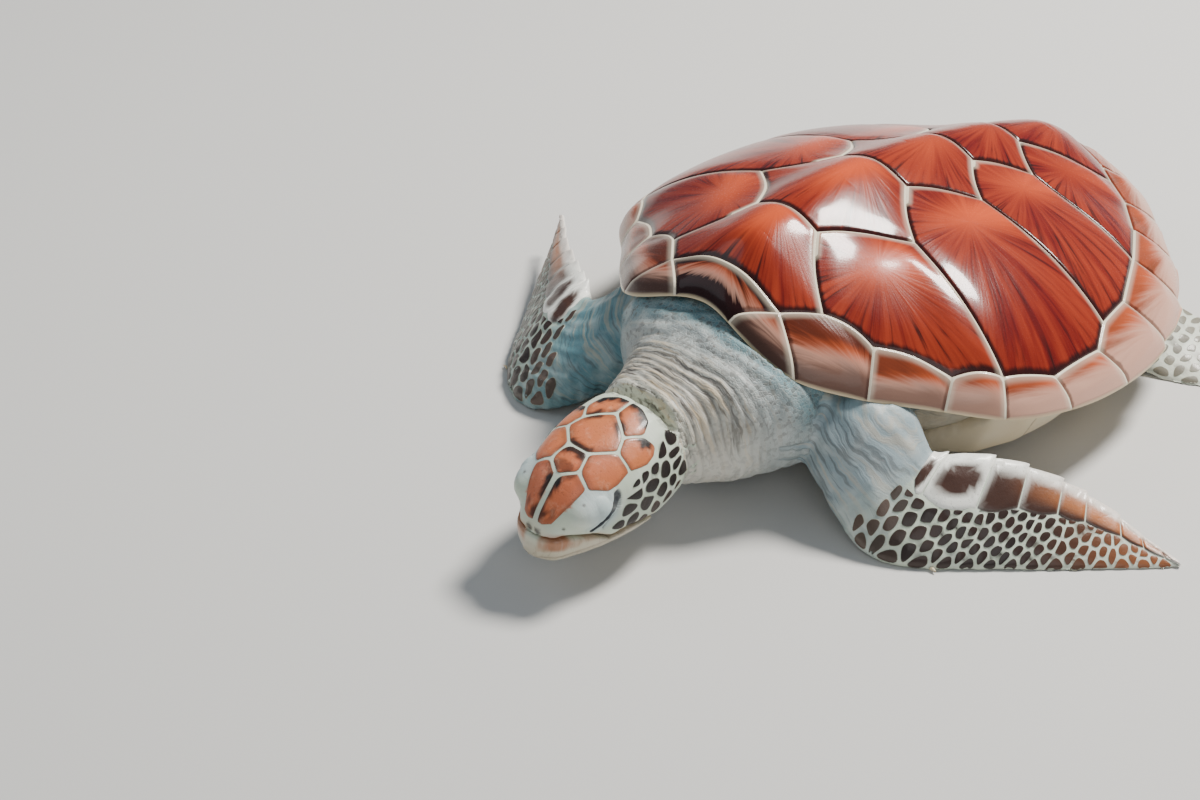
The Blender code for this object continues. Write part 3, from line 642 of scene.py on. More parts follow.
def blank(bm, points):
    """Flat double face over an outline: its underside and its top, marked by share and level."""
    share, level = layers(bm, "share level")
    floor = bm.faces.new(points)
    for v in points:
        v[share] = 1.0
    top = extruded(bm, floor)
    for v in top.verts:
        v[level] = 1.0
    return next(f for f in points[0].link_faces if len(f.verts) == len(points)), top


def draw_in(bm, face, centre, shares):
    """Rings drawn in from a face towards the centre, ending in a point; shares are of the outline."""
    share, level = layers(bm, "share level")
    side = face.verts[0][level]
    last = 1.0
    for size in shares:
        old = face
        face = extruded(bm, old)
        if old.is_valid:
            bmesh.ops.delete(bm, geom=[old], context="FACES_ONLY")
        bmesh.ops.scale(bm, vec=(size / last,) * 3, space=Matrix.Translation(-centre), verts=face.verts)
        for vert in face.verts:
            vert[share] = size
        last = size
    middle = bmesh.ops.poke(bm, faces=[face])["verts"][0]
    middle.co = centre
    middle[share] = 0.0
    middle[level] = side


def seam_point(here, after, s):
    """Place on the seam from one junction to the next; seams bow towards the midline."""
    key = frozenset(((abs(here[0]), here[1]), (abs(after[0]), after[1])))
    dx, dy = after[0] - here[0], after[1] - here[1]
    bow = SEAM_BOWS.get(key, 0.0) * math.sin(math.pi * s)
    if -dy * (here[0] + after[0]) > 0:
        bow = -bow
    return here[0] + dx * s - dy * bow, here[1] + dy * s + dx * bow


def plate_edge(corners):
    """Outline through (x, y, angle, share) corners, and whether each point starts a piece of the rim."""
    outline = []
    on_rim = []
    for here, after in zip(corners, corners[1:] + corners[:1]):
        steps = max(2, round(math.dist(here[:2], after[:2]) / OUTLINE_STEP))
        rim = here[2] is not None and after[2] is not None
        for k in range(steps):
            s = k / steps
            if rim:
                outline.append(rim_point(*(a + (b - a) * s for a, b in zip(here[2:], after[2:]))))
            else:
                outline.append(seam_point(here, after, s))
            on_rim.append(rim)
    return outline, np.array(on_rim)


def edge_distances(points, outline, on_rim, centre, middle_plate):
    """For each point its distance in metres to the pale, the dark and the rim edges."""
    a = np.array(outline)
    b = np.roll(a, -1, axis=0)
    way = b - a
    normal = np.stack([way[:, 1], -way[:, 0]], 1)
    facing = (a + b) / 2 - np.array(centre)
    normal *= np.where((normal * facing).sum(1) < 0, -1.0, 1.0)[:, None]
    normal /= np.linalg.norm(normal, axis=1)[:, None]
    outward = np.sign(((a + b) / 2)[:, 0]) * normal[:, 0]
    score = normal[:, 1] - (0.55 if middle_plate else 0.9) * outward
    p = np.array(points)[:, None, :]
    t = (((p - a[None]) * way[None]).sum(2) / (way * way).sum(1)[None]).clip(0, 1)
    reach = np.linalg.norm(a[None] + way[None] * t[..., None] - p, axis=2) * SHELL
    kinds = (~on_rim & (score > 0), ~on_rim & (score <= 0), on_rim)
    return [reach[:, kind].min(1) if kind.any() else np.full(len(points), FAR) for kind in kinds]


# Strength of the painted shade on the front marginal plates and the nuchal, laid over their own dark edges.
SHADE_AND_DARK_EDGES = {1: 0.9, 2: 0.75, 3: 0.5, 4: 0.2}  # how dark the front marginal plates are
NUCHAL_SHADE_AND_DARK_EDGES = 1.5
GLOW = {  # how bright the ridge is on plates where it is faint
    "vertebral_3": 0.50, "vertebral_4": 0.26, "vertebral_5": 0.20, "costal_3": 0.75, "costal_4": 0.40,
}
FAR = 1.0  # metres, where a plate has no edge of a kind
PLATE_RINGS = (0.988, 0.972, 0.95, 0.92, 0.88, 0.82, 0.74, 0.64, 0.52, 0.39, 0.26, 0.13)
PLATE_DEPTH = 0.0042


def shell_plate(name, corners, look, number, growth, ridge_line, middle_plate=False, marginal=0):
    """One plate of the carapace: true outline, rounded edges, soft ridge, and marks for its colours."""
    shell = settings()[0]
    outline, on_rim = plate_edge(corners)
    centre = [sum(axis) / len(outline) for axis in zip(*outline)]
    bm = bmesh.new()
    layers(bm, "share level")  # made first, since a new layer drops the vertices at hand
    floor, top = blank(bm, [bm.verts.new((x, y, 0.0)) for x, y in outline])
    middle = Vector((*centre, 0.0))
    draw_in(bm, top, middle, PLATE_RINGS)
    draw_in(bm, floor, middle, (0.97, 0.88, 0.6, 0.3) if marginal else (0.6, 0.2))
    level, share, *marks, ray = layers(bm, "level share seam band reach ridge glow rim dusk under", "ray")
    glow = GLOW.get("_".join(name.split("_")[:2]), 1.0)
    dusk = NUCHAL_SHADE_AND_DARK_EDGES if name == "nuchal" else SHADE_AND_DARK_EDGES.get(marginal, 0.0)
    (front_x, front), (rear_x, rear) = ridge_line
    plan = [(v.co.x, v.co.y) for v in bm.verts]
    edges = edge_distances(plan, outline, on_rim, centre, middle_plate)
    for v, (x, y), to_seam, to_band, to_rim in zip(bm.verts, plan, *edges):
        edge = min(to_seam, to_band)
        closest = min(edge, to_rim)
        along = (y - front) / (rear - front)
        off = (x - front_x - (rear_x - front_x) * along) / (0.024 + 0.018 * min(max(along, 0), 1))
        crest = math.exp(-off * off) * ramp(along, -0.1, 0.75) * ramp(1.22 - along, 0.0, 0.22)
        crest *= ramp(closest, 0.0, 0.006)
        rim = 0.0
        if marginal:
            inward = rim_share(*INNER[marginal])
            rim = min(max((rim_share(x, y) - inward) / (1.0 - inward), 0.0), 1.0)
        under = v[level] < 0.5
        values = (to_seam, to_band, closest, crest, glow, rim, dusk, float(under))
        for mark, value in zip(marks, values):
            v[mark] = value
        v[ray] = ((x - growth[0]) * SHELL, (y - growth[1]) * SHELL, number)
        if under:
            lift = 0.0002 * (v[share] > 0.975) - PLATE_DEPTH
        else:
            lift = shell.swell * ramp(edge, 0.0, 0.012) + shell.ridge * crest
            lift -= 0.0011 * (1 - ramp(edge, -0.0002, 0.0016)) + 0.0016 * (1 - ramp(to_rim, 0.0, 0.003))
        v.co = shell_to_world(x, y, dome(x, y), lift)
    bmesh.ops.recalc_face_normals(bm, faces=bm.faces)
    return finish_piece(name, bm, look, (name,), 60.0)


def plate_pair(kind, number, corners, look, numbers, growth, ridge, marginal=0):
    """A plate of the left side and its mirror image."""
    places = [growth, *ridge]
    for side, plate_number in zip(("left", "right"), numbers):
        name = f"{kind}_{number}_{side}"
        shell_plate(name, corners, look, plate_number, places[0], places[1:], marginal=marginal)
        corners = mirrored(corners)
        places = [(-x, y) for x, y in places]


def inner(point):
    return (*point, None, None)


def mirrored(corners):
    """The same corners on the turtle's right side."""
    return [(-x, y, None if angle is None else -angle, share) for x, y, angle, share in reversed(corners)]


def rim_corner(number, saw=0.0):
    """Corner where two marginal plates meet on the rim, drawn out or in by a share."""
    x0, y0 = INNER[number]
    x1, y1 = rim_point(OUTER[number])
    x, y = x0 + (x1 - x0) * (1 + saw), y0 + (y1 - y0) * (1 + saw)
    return x, y, OUTER[number], math.hypot(x, HUB - y) / smooth(RIM, OUTER[number])


VERTEBRALS = (
    (NUCHAL_V1, V1_C1, V1_V2),
    (V1_V2, V2_C1_C2, V2_V3),
    (V2_V3, V3_C2_C3, V3_V4),
    (V3_V4, V4_C3_C4, V4_V5),
    (V4_V5, V5_C4, INNER[11], TAIL_SEAM),
)
COSTALS = (  # corners, growth point, front and rear of the ridge
    ((V1_C1, INNER[2], INNER[3], INNER[4], V2_C1_C2, V1_V2), (0.150, 0.245), ((0.125, 0.160), (0.165, 0.290))),
    (
        (INNER[4], INNER[5], INNER[6], C2_C3, V3_C2_C3, V2_V3, V2_C1_C2),
        (0.165, 0.435), ((0.135, 0.350), (0.165, 0.500)),
    ),
    ((C2_C3, INNER[7], INNER[8], V4_C3_C4, V3_V4, V3_C2_C3), (0.135, 0.610), ((0.120, 0.540), (0.130, 0.670))),
    ((INNER[8], INNER[9], INNER[10], V5_C4, V4_V5, V4_C3_C4), (0.110, 0.765), ((0.085, 0.710), (0.120, 0.830))),
)


class TURTLE_OT_carapace(bpy.types.Operator):
    """Make the plates of the upper shell in the place of their solids"""

    bl_idname = "turtle.carapace"
    bl_label = "Carapace plates"

    def execute(self, context):
        horn = plate_horn("scute_horn")
        edge_horn = plate_horn("marginal_horn", marginal=True)
        left = [rim_corner(0), inner(NUCHAL_V1)]
        ridge = ((0.0, 0.04), (0.0, 0.09))
        shell_plate("nuchal", left + mirrored(left), edge_horn, 0.5, (0.0, 0.085), ridge, True, 1)
        for number, row in enumerate(VERTEBRALS, 1):
            left = [inner(p) for p in row]
            corners = left + [corner for corner in mirrored(left) if corner[0] != 0]
            front, rear = row[0][1], row[-1][1]
            growth, *ridge = [(0.0, front + (rear - front) * share) for share in (0.80, 0.15, 0.86)]
            shell_plate(f"vertebral_{number}", corners, horn, number, growth, ridge, True)
        for number, (row, growth, ridge) in enumerate(COSTALS, 1):
            plate_pair("costal", number, [inner(p) for p in row], horn, (6 + number, 12 + number), growth, ridge)
        extra = {2: V1_C1, 7: C2_C3, 11: V5_C4}
        for number in range(1, 13):
            before, after = INNER[number - 1], INNER[number]
            front = rim_corner(number - 1, -SAW if number > SAW_FROM else 0.0)
            rear = rim_corner(number, SAW if SAW_FROM < number < 12 else 0.0)
            corners = [inner(before), front, rear]
            if before != after:
                corners.append(inner(after))
            if number in extra:
                corners.append(inner(extra[number]))
            mid = Vector(before).lerp(Vector(after), 0.75)
            rim = Vector(rim_point(OUTER[number]))
            ridge = [tuple(Vector(before).lerp(rim, 0.3)), tuple(mid.lerp(rim, 0.55))]
            if abs(ridge[1][1] - ridge[0][1]) < 0.02:
                ridge[1] = (ridge[1][0], ridge[0][1] + 0.02)
            growth = tuple(mid.lerp(rim, 0.85))
            plate_pair("marginal", number, corners, edge_horn, (20 + number, 40 + number), growth, ridge, number)
        return {"FINISHED"}


# ------------------------------------------------------------ skin

SWELL = 0.0010  # how far the solids are pushed out before they are joined, so that their cuts close
MOUND_SIZE = (0.112, 0.192, 0.108)  # half sizes of the swelling over an eye, in head lengths
MOUND_PLACE = (0.190, 0.332, 0.203)
EYE_SMOOTHED = 0.029  # metres from an eyeball's middle
EYE_REFINED = (0.019, 0.016)  # the skin is split in four within the first, and again within the second
HEAD_REAR = 0.101  # metres from the snout to the back of the head


def joined(parts):
    """One bmesh of several, which are freed."""
    whole = bmesh.new()
    for part in parts:
        step = bpy.data.meshes.new("copy")
        part.to_mesh(step)
        part.free()
        whole.from_mesh(step)
        bpy.data.meshes.remove(step)
    return whole


def solid_copy(names, swell=0.0):
    """Merged copies of the named solids in one bmesh, each pushed out by swell."""
    parts = []
    for name in names:
        part = bmesh.new()
        part.from_mesh(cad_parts[name].data)
        bmesh.ops.remove_doubles(part, verts=part.verts, dist=0.00002)
        part.normal_update()
        push(part, swell)
        parts.append(part)
    return joined(parts)


def applied(bm, kind, group=None, **options):
    """The bmesh after one modifier."""
    mesh = bpy.data.meshes.new("step")
    bm.to_mesh(mesh)
    bm.free()
    holder = bpy.data.objects.new("step", mesh)
    bpy.context.scene.collection.objects.link(holder)
    if group is not None:
        made = holder.vertex_groups.new(name="share")
        for weight in sorted(set(group)):
            made.add([i for i, w in enumerate(group) if w == weight], weight, "REPLACE")
    step = holder.modifiers.new("step", kind)
    for key, value in options.items():
        setattr(step, key, value)
    graph = bpy.context.evaluated_depsgraph_get()
    result = bmesh.new()
    result.from_object(holder, graph)
    bpy.data.objects.remove(holder)
    bpy.data.meshes.remove(mesh)
    return result


def under_shell(p):
    """True for skin that the plates and the plastron hide."""
    place = world_to_shell(p)
    share = rim_share(place.x, place.y)
    if p.z < 0.030:
        return share < 0.58
    return share < 0.80 and place.z > rim_height(place.x, place.y) - 0.02 and -0.09 < p.y < 0.16


def head_place(p):
    """Side, along and up in head lengths."""
    return HEAD_FRAME.inverted() @ p


def eye_middle(side):
    """Middle of an eyeball, in the world."""
    return HEAD_FRAME @ Vector((EYE_PLACE.x * side, EYE_PLACE.y, EYE_PLACE.z))


def thinned(bm, chosen, share):
    """The bmesh with a share of its faces gone where the test passes, the flattest first."""
    group = [1.0 if chosen(v.co) else 0.0 for v in bm.verts]
    total = sum(len(f.verts) - 2 for f in bm.faces)
    inside = sum(len(f.verts) - 2 for f in bm.faces if chosen(f.calc_center_median()))
    return applied(bm, "DECIMATE", group=group, ratio=1 - share * inside / total, vertex_group="share")


def refine(bm, chosen):
    """Splits the faces whose middle passes the test in four."""
    faces = [f for f in bm.faces if chosen(f.calc_center_median())]
    edges = list({e for f in faces for e in f.edges})
    bmesh.ops.subdivide_edges(bm, edges=edges, cuts=1, use_grid_fill=True)
    bmesh.ops.triangulate(bm, faces=[f for f in bm.faces if len(f.verts) > 4])


LID_REACH = EYE_RADIUS + 0.012
EYE_SLIT = (
    (0.283, 0.446, 0.257), (0.296, 0.426, 0.225), (0.302, 0.395, 0.200), (0.302, 0.353, 0.188),
    (0.296, 0.323, 0.176), (0.272, 0.288, 0.146), (0.246, 0.252, 0.113),
)
LID_CREASE = ((0.289, 0.475, 0.257), (0.304, 0.423, 0.188), (0.293, 0.357, 0.138), (0.274, 0.306, 0.092))


def line_gap(place, line):
    """Distance in head lengths to a line of points."""
    pieces = zip(line, line[1:])
    return min((place - a.lerp(b, k / 6)).length for a, b in pieces for k in range(7))


def over_eye(point):
    """The point moved straight out or in to the surface of the lids."""
    return EYE_PLACE + (point - EYE_PLACE).normalized() * LID_REACH


SLIT_LINE = [over_eye(Vector(p)) for p in EYE_SLIT]
CREASE_LINE = [over_eye(Vector(p)) for p in LID_CREASE]


def eye_shape(place, side):
    """In head lengths: the way from the eyeball's middle, and the gaps to the slit and to the fold behind it."""
    arm = Vector((place.x * side, place.y, place.z)) - EYE_PLACE
    if arm.length > 0.22:
        return arm, 1.0, 1.0
    spot = over_eye(EYE_PLACE + arm)
    far = max(arm.length / LID_REACH, 1.0)
    return arm, line_gap(spot, SLIT_LINE) * far, line_gap(spot, CREASE_LINE) * far


def near_slit(p):
    """True close to the slit between the lids of either eye."""
    place = head_place(p)
    side = 1 if place.x > 0 else -1
    arm, slit, _ = eye_shape(place, side)
    return arm.length < 0.17 and slit < 0.032


def slit_width(place, widest):
    """How much wider the slit is low behind the eye."""
    return widest * ramp(0.44 - place.y, 0.0, 0.08) * ramp(place.y, 0.25, 0.31)


def add_lids(bm):
    """Keeps the skin just over each eyeball and opens a narrow slit between the lids."""
    lid = EYE_RADIUS + 0.010
    for side in (1, -1):
        middle = eye_middle(side)
        for v in bm.verts:
            if (v.co - middle).length > 0.021:
                continue
            place = head_place(v.co)
            if place.x * side < 0.10:
                continue
            arm, slit, crease = eye_shape(place, side)
            if arm.length < lid:
                arm = arm.normalized() * lid
            if arm.length < lid + 0.045:
                opened = 1 - ramp(slit - slit_width(place, 0.006), 0.007, 0.014)
                swollen = ramp(slit, 0.013, 0.026) * ramp(0.050 - slit, 0.0, 0.02)
                reach = arm.length + 0.006 * swollen - 0.007 * ramp(0.013 - crease, 0.0, 0.009)
                floor = max(EYE_RADIUS - 0.012, reach - 0.024)
                arm = arm.normalized() * (reach + (floor - reach) * opened)
            place = EYE_PLACE + arm
            v.co = HEAD_FRAME @ Vector((place.x * side, place.y, place.z))


RING_PITCH = 0.0052
LOOSE_PITCH = 0.0135


def neck_reach(p):
    """Metres behind the back of the head, measured along the neck."""
    return (p.y - HEAD_FRAME.translation.y) - HEAD_REAR + 0.16 * (p.z - 0.06)


def wander(p):
    """How far the folds stray at a point, in metres."""
    return noise.noise(p * 28) * 0.006 + noise.noise(p * 70) * 0.0015


def ring_wave(p, s):
    """From -1 in the furrows to 1 on the crests of the rings behind the head."""
    return math.sin((s + wander(p)) * 2 * math.pi / RING_PITCH)


def fold_skin(bm, depth):
    """Ring folds behind the head, loose folds towards the shell, creases at the shoulders."""
    bm.normal_update()
    for v in bm.verts:
        p = v.co
        if not -0.235 <= p.y <= -0.02:
            continue
        s = neck_reach(p)
        near = ramp(s, -0.004, 0.008) * ramp(0.070 - s, 0.0, 0.035)
        near *= ring_wave(p, s) * (0.6 + 0.4 * noise.noise(p * 40))
        far = ramp(s, 0.02, 0.05) * ramp(0.14 - s, 0.0, 0.04) * (0.45 if abs(p.x - 0.01) > 0.085 else 0.9)
        far *= math.sin((s + wander(p) * 2.2) * 2 * math.pi / LOOSE_PITCH)
        v.co += v.normal * (depth * (near + far))


def edges_at(stations, t):
    """Leading and trailing edge of a limb at station number t."""
    return curve_point([s[0] for s in stations], t), curve_point([s[1] for s in stations], t)


def middle_at(stations, t):
    return sum(edges_at(stations, t), Vector()) / 2


def half_width(stations, t):
    lead, trail = edges_at(stations, t)
    return (trail - lead).length / 2


def limb_station(p, stations, steps=40):
    """Nearest station number along a limb's middle."""
    places = [(len(stations) - 1) * k / steps for k in range(steps + 1)]
    return min(places, key=lambda t: (p - middle_at(stations, t)).length)


def mirrored_stations(stations):
    """The stations of the leg on the other side, which lies a little differently."""
    made = []
    for number, (*ends, thick) in enumerate(stations):
        move = LEG_SHIFT * (number / (len(stations) - 1))
        made.append((*(tuple(Vector((-x, y, z)) + move) for x, y, z in ends), thick))
    return tuple(made)


LEG_RIGHT = mirrored_stations(LEG_LEFT)
LIMBS = {
    "arm_left": ARM_LEFT, "flipper_left": ARM_LEFT, "arm_right": ARM_RIGHT, "flipper_right": ARM_RIGHT,
    "thigh_left": LEG_LEFT, "foot_left": LEG_LEFT, "thigh_right": LEG_RIGHT, "foot_right": LEG_RIGHT,
}


def mix(a, b, share):
    """Colour a share of the way from one to another."""
    return tuple(p + (q - p) * share for p, q in zip(a, b))


def nearest(points):
    """Tree that finds the nearest of some points by its number."""
    tree = KDTree(len(points))
    for number, point in enumerate(points):
        tree.insert(point, number)
    tree.balance()
    return tree


def nearest_part():
    """Finds which solid a point of the skin belongs to."""
    places = [(name, v.co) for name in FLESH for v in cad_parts[name].data.vertices]
    tree = nearest([place for _, place in places])
    return lambda p: places[tree.find(p)[1]][0]


BEAK_CREAM = (0.52, 0.46, 0.32)


def beak_brown():
    scales = settings()[2]
    return mix(scales.tan, scales.brown, 0.35)


def beak_patch(p, place):
    """Strength of the brown patches on each side of the snout."""
    stray = 0.020 * noise.noise(p * 160)
    big = ramp(0.080 - math.hypot((place.y - 0.075) * 0.8, (place.z - 0.085) * 1.2) + stray, 0.0, 0.045)
    long = ramp(0.030 - abs(place.z - 0.055) + stray, 0.0, 0.022) * ramp(0.34 - place.y, 0.0, 0.14)
    return min(max(big, 0.4 * long), 1.0) * ramp(abs(place.x), 0.030, 0.060) * 0.9


NOSTRIL = (0.030, 0.046, 0.148)  # side, along, up in head lengths
# The first spot darkens each nostril: painted shade in its opening. The others are dark spots of the skin.
SPOTS = ((NOSTRIL, 0.026), ((0.153, 0.126, 0.166), 0.013), ((0.211, 0.248, 0.287), 0.014))
SPOT = (0.03, 0.02, 0.02)


def spot_gap(place, spot):
    """Distance in head lengths to a spot that either side has."""
    return math.dist((abs(place.x), place.y, place.z), spot)


def nostril(place):
    """One inside either nostril, nought outside."""
    return ramp(0.030 - spot_gap(place, NOSTRIL), 0.0, 0.010)


def beak_tone(p, place):
    """Colour of the beak at a point."""
    skin = settings()[1]
    tone = mix(skin.pale, BEAK_CREAM, 0.8)
    tone = mix(tone, skin.mint, ramp(place.z, 0.04, 0.13) * 0.8)
    tone = mix(tone, beak_brown(), beak_patch(p, place))
    tone = mix(tone, (0.22, 0.13, 0.08), 0.5 * ramp(0.014 - abs(place.z + 0.02), 0.0, 0.012))
    # Painted shade in the nostrils.
    return mix(tone, SPOT, 0.9 * nostril(place))


def rim_shade(p):
    """Painted shade under the shell's front rim: how close a point of the skin is to the rim over it."""
    place = world_to_shell(p)
    return ramp(1.10 - rim_share(place.x, place.y), 0.0, 0.07)


def head_marks(p, lie):
    """Marks of the head's skin: lids, painted shade in the eyes' creases and slits and in the nostrils, dark spots and
    the edge of the beak.
    """
    skin = settings()[1]
    place = head_place(p)
    arm, slit, crease = eye_shape(place, 1 if place.x > 0 else -1)
    tone = mix(skin.mint, skin.lid, ramp(arm.length, 0.170, 0.110))
    tone = mix(tone, skin.pale, ramp(-0.05 - place.z, 0.0, 0.1))
    tone = mix(tone, BEAK_CREAM, ramp(0.10 - place.y, 0.0, 0.08) * 0.7)
    tone = mix(tone, beak_brown(), beak_patch(p, place))
    for spot, reach in SPOTS:
        tone = mix(tone, SPOT, 0.85 * ramp(reach - spot_gap(place, spot), 0.0, 0.008))
    near = ramp(0.17 - arm.length, 0.0, 0.02)
    # Painted shade along the fold behind each eye's lids.
    tone = mix(tone, (0.10, 0.12, 0.13), 0.8 * near * ramp(0.010 - crease, 0.0, 0.007))
    # Painted shade in the slit between the lids, wider than the opening itself.
    slit -= 0.0175 + slit_width(place, 0.011)
    tone = mix(tone, (0.010, 0.014, 0.024), 0.98 * near * ramp(-slit, 0.0, 0.005))
    back = ramp(place.y, 0.90, 0.98)
    return tone, 0.45 * back, 1.3 * back, lie


def neck_marks(p, lie):
    """Marks of the neck's skin: rings behind the head with painted shade in their furrows, blue towards the shell with
    painted shade nearest it, and painted shade in teal under the shell's front rim.
    """
    skin = settings()[1]
    up = ramp(p.z, 0.035, 0.095)
    s = neck_reach(p)
    tone = mix(skin.pale, skin.back, up * ramp(s, -0.01, 0.02) * 0.60)
    # Blue towards the shell. The first step is the skin's blue; the second, nearest the shell, is painted shade from
    # the shell's front.
    tone = mix(tone, skin.blue, 0.48 * ramp(s, 0.02, 0.06) + 0.30 * ramp(s, 0.065, 0.10))
    ring = ring_wave(p, s) * ramp(s, -0.004, 0.006) * ramp(0.060 - s, 0.0, 0.030) * (0.3 + 0.7 * up)
    # Dark in the furrows of the rings is painted shade; ochre on their crests.
    tone = mix(tone, (0.085, 0.070, 0.055), 0.80 * ramp(-ring, 0.15, 0.95))
    tone = mix(tone, (0.62, 0.50, 0.32), 0.35 * ramp(ring, 0.3, 0.9))
    nape = up * ramp(0.016 - s, 0.0, 0.012)
    tone = mix(tone, (0.60, 0.60, 0.50), 0.9 * nape)
    # Painted shade in teal under the shell's front rim.
    tone = mix(tone, skin.shade_teal, 0.85 * up * rim_shade(p))
    folds = (0.12 + 0.88 * ramp(0.062 - s, 0.0, 0.035)) * (0.25 + 0.75 * up)
    return tone, folds, 0.35 + 0.65 * up * ramp(s, 0.02, 0.07) + nape, lie


def arm_marks(p, t, left):
    """Marks of an upper arm's skin at station number t."""
    skin = settings()[1]
    # The right arm is painted in shade: teal, and lightened less with mint than the left. Under the shell's front rim
    # the top of either arm gets painted shade in teal.
    tone, lighter = (mix(skin.blue, skin.pale, 0.25), 0.8) if left else (skin.shade_teal, 0.35)
    tone = mix(tone, skin.shade_teal, 0.6 * rim_shade(p) * ramp(p.z, 0.06, 0.09))
    tone = mix(tone, skin.mint, ramp(t, 2.2, 3.6) * lighter)
    return tone, 0.55 * ramp(3.4 - t, 0.0, 1.2), 0.14, Vector((p.z * 0.8 + p.x * 0.5, p.y, p.x))


def skin_marks(p, part):
    """Colour, strength of folds, strength of pebbles and lie of the skin at a point."""
    skin = settings()[1]
    lie = Vector((neck_reach(p), p.x, p.z))
    kind, _, side = part.partition("_")
    if kind == "head":
        return head_marks(p, lie)
    if kind == "neck":
        return neck_marks(p, lie)
    if kind == "arm":
        return arm_marks(p, limb_station(p, LIMBS[part]), side == "left")
    if kind == "flipper":
        # The right flipper gets painted shade in teal.
        tone = mix(skin.mint, skin.shade_teal, 0.0 if side == "left" else 0.35)
        return mix(tone, skin.pale, ramp(limb_station(p, LIMBS[part]), 6.5, 9.0) * 0.5), 0.0, 0.1, lie
    pale = mix(skin.pale, skin.mint, 0.5)
    return {
        "thigh": (pale, 0.4, 0.4, p),
        "foot": (mix(skin.mint, skin.pale, 0.4), 0.0, 0.15, lie),
        "tail": (pale, 0.35, 0.5, Vector((p.y, p.x, p.z))),
        "trunk": ((0.66, 0.59, 0.46), 0.35, 0.15, Vector((p.x * 0.7 + p.z, p.y, p.z))),
    }[kind]


def lid_mounds():
    """Rounded solids over the eyeballs that the skin is drawn over."""
    bm = bmesh.new()
    for side in (1, -1):
        made = bmesh.ops.create_uvsphere(bm, u_segments=40, v_segments=24, radius=1.0)["verts"]
        size = [reach + SWELL / HEAD for reach in MOUND_SIZE]
        middle = Matrix.Translation((MOUND_PLACE[0] * side, *MOUND_PLACE[1:]))
        bmesh.ops.transform(bm, matrix=HEAD_FRAME @ middle @ Matrix.Diagonal((*size, 1.0)), verts=made)
    return bm


class TURTLE_OT_skin(bpy.types.Operator):
    """Make one skin over head, neck, trunk, limbs and tail"""

    bl_idname = "turtle.skin"
    bl_label = "Skin"

    def execute(self, context):
        skin = context.scene.turtle_skin
        body = joined([solid_copy(FLESH, SWELL), lid_mounds()])
        bm = applied(body, "REMESH", mode="VOXEL", voxel_size=skin.voxel)
        relax(bm, 2)
        bm = thinned(bm, under_shell, 0.94)
        bm.normal_update()
        push(bm, -(SWELL + skin.depth))
        eyes = [eye_middle(side) for side in (1, -1)]

        def eye_gap(p):
            return min((p - eye).length for eye in eyes)

        relax(bm, 8, [v for v in bm.verts if eye_gap(v.co) < EYE_SMOOTHED])
        for chosen in (
            lambda p: eye_gap(p) < EYE_REFINED[0],
            lambda p: eye_gap(p) < EYE_REFINED[1],
            near_slit,
            lambda p: -0.004 < neck_reach(p) < 0.040 and abs(p.x - 0.01) < 0.08,
            lambda p: p.y < -0.2 and head_place(p).y < 0.26,
        ):
            refine(bm, chosen)
        add_lids(bm)
        fold_skin(bm, skin.fold)
        bm.normal_update()
        tree = BVHTree.FromBMesh(solid_copy(("beak", "jaw")))

        def horn_gap(p, reach):
            return tree.find_nearest(p, reach)[3] if p.y < -0.2 else None

        for v in bm.verts:
            gap = horn_gap(v.co, 0.004)
            if gap is not None:
                depth = 0.0009 * ramp(0.0035 - gap, 0.0, 0.003) + 0.0010 * nostril(head_place(v.co))
                v.co -= v.normal * depth
        bm = thinned(bm, lambda p: p.y > 0.0 or abs(p.x) > 0.16, 0.72)
        bm = thinned(bm, lambda p: p.y < -0.2 and abs(p.x) < 0.12 and not near_slit(p), 0.60)
        folds, pebbles, lie, coat = layers(bm, "folds pebbles", "lie", "coat")
        find = nearest_part()
        for v in bm.verts:
            v.co.z = max(v.co.z, 0.0001)
            tone, v[folds], v[pebbles], v[lie] = skin_marks(v.co, find(v.co))
            gap = horn_gap(v.co, 0.005)
            if gap is not None:
                tone = mix(tone, beak_tone(v.co, head_place(v.co)), ramp(0.0045 - gap, 0.0, 0.0025))
            v[coat] = (*tone, 1.0)
        finish_piece("skin", bm, skin_material(), FLESH, 180.0)
        return {"FINISHED"}


# ------------------------------------------------------------ scales

SMALLEST = 0.0009  # scales of a smaller radius are left out
SUNK_EDGE = -0.0005  # height of a scale's edge over the skin
SUNK_FLOOR = -0.0010  # height of its underside
MAP_MARGIN = 1.07  # how much further out the foot of a scale's wall lies on the map than in the world
NEIGHBOURS = 18  # nearest seeds that may bound a cell


def around(outline):
    """Each point with the one after it."""
    return zip(outline, outline[1:] + outline[:1])


def clip(outline, point, away):
    """The part of a flat outline on the side that away points from."""
    kept = []
    for here, after in around(outline):
        a = (here - point).dot(away)
        b = (after - point).dot(away)
        if a <= 0:
            kept.append(here)
        if a * b < 0:
            kept.append(here.lerp(after, a / (a - b)))
    return kept


def inset(outline, width):
    """A convex outline drawn in by a width on every side."""
    middle = sum(outline, Vector((0, 0))) / len(outline)
    result = outline
    for here, after in around(outline):
        way = after - here
        if way.length < 1e-7:
            continue
        out = Vector((way.y, -way.x)).normalized()
        if out.dot(here - middle) < 0:
            out = -out
        result = clip(result, here - out * width, out)
        if len(result) < 3:
            return []
    return result


def rounded(outline, times=2, share=0.24):
    """Corners cut back again and again."""
    for _ in range(times):
        outline = [here.lerp(after, s) for here, after in around(outline) for s in (share, 1 - share)]
    return outline


def cells(seeds, reach):
    """Flat cell of each seed: all that is nearer to it than to any other."""
    square = ((-reach, -reach), (reach, -reach), (reach, reach), (-reach, reach))
    made = []
    for seed in seeds:
        cell = [seed + Vector(corner) for corner in square]
        near = (other for other in seeds if 0 < (other - seed).length < reach * 3)
        for other in sorted(near, key=lambda o: (o - seed).length)[:NEIGHBOURS]:
            cell = clip(cell, (seed + other) / 2, other - seed)
        made.append(cell)
    return made


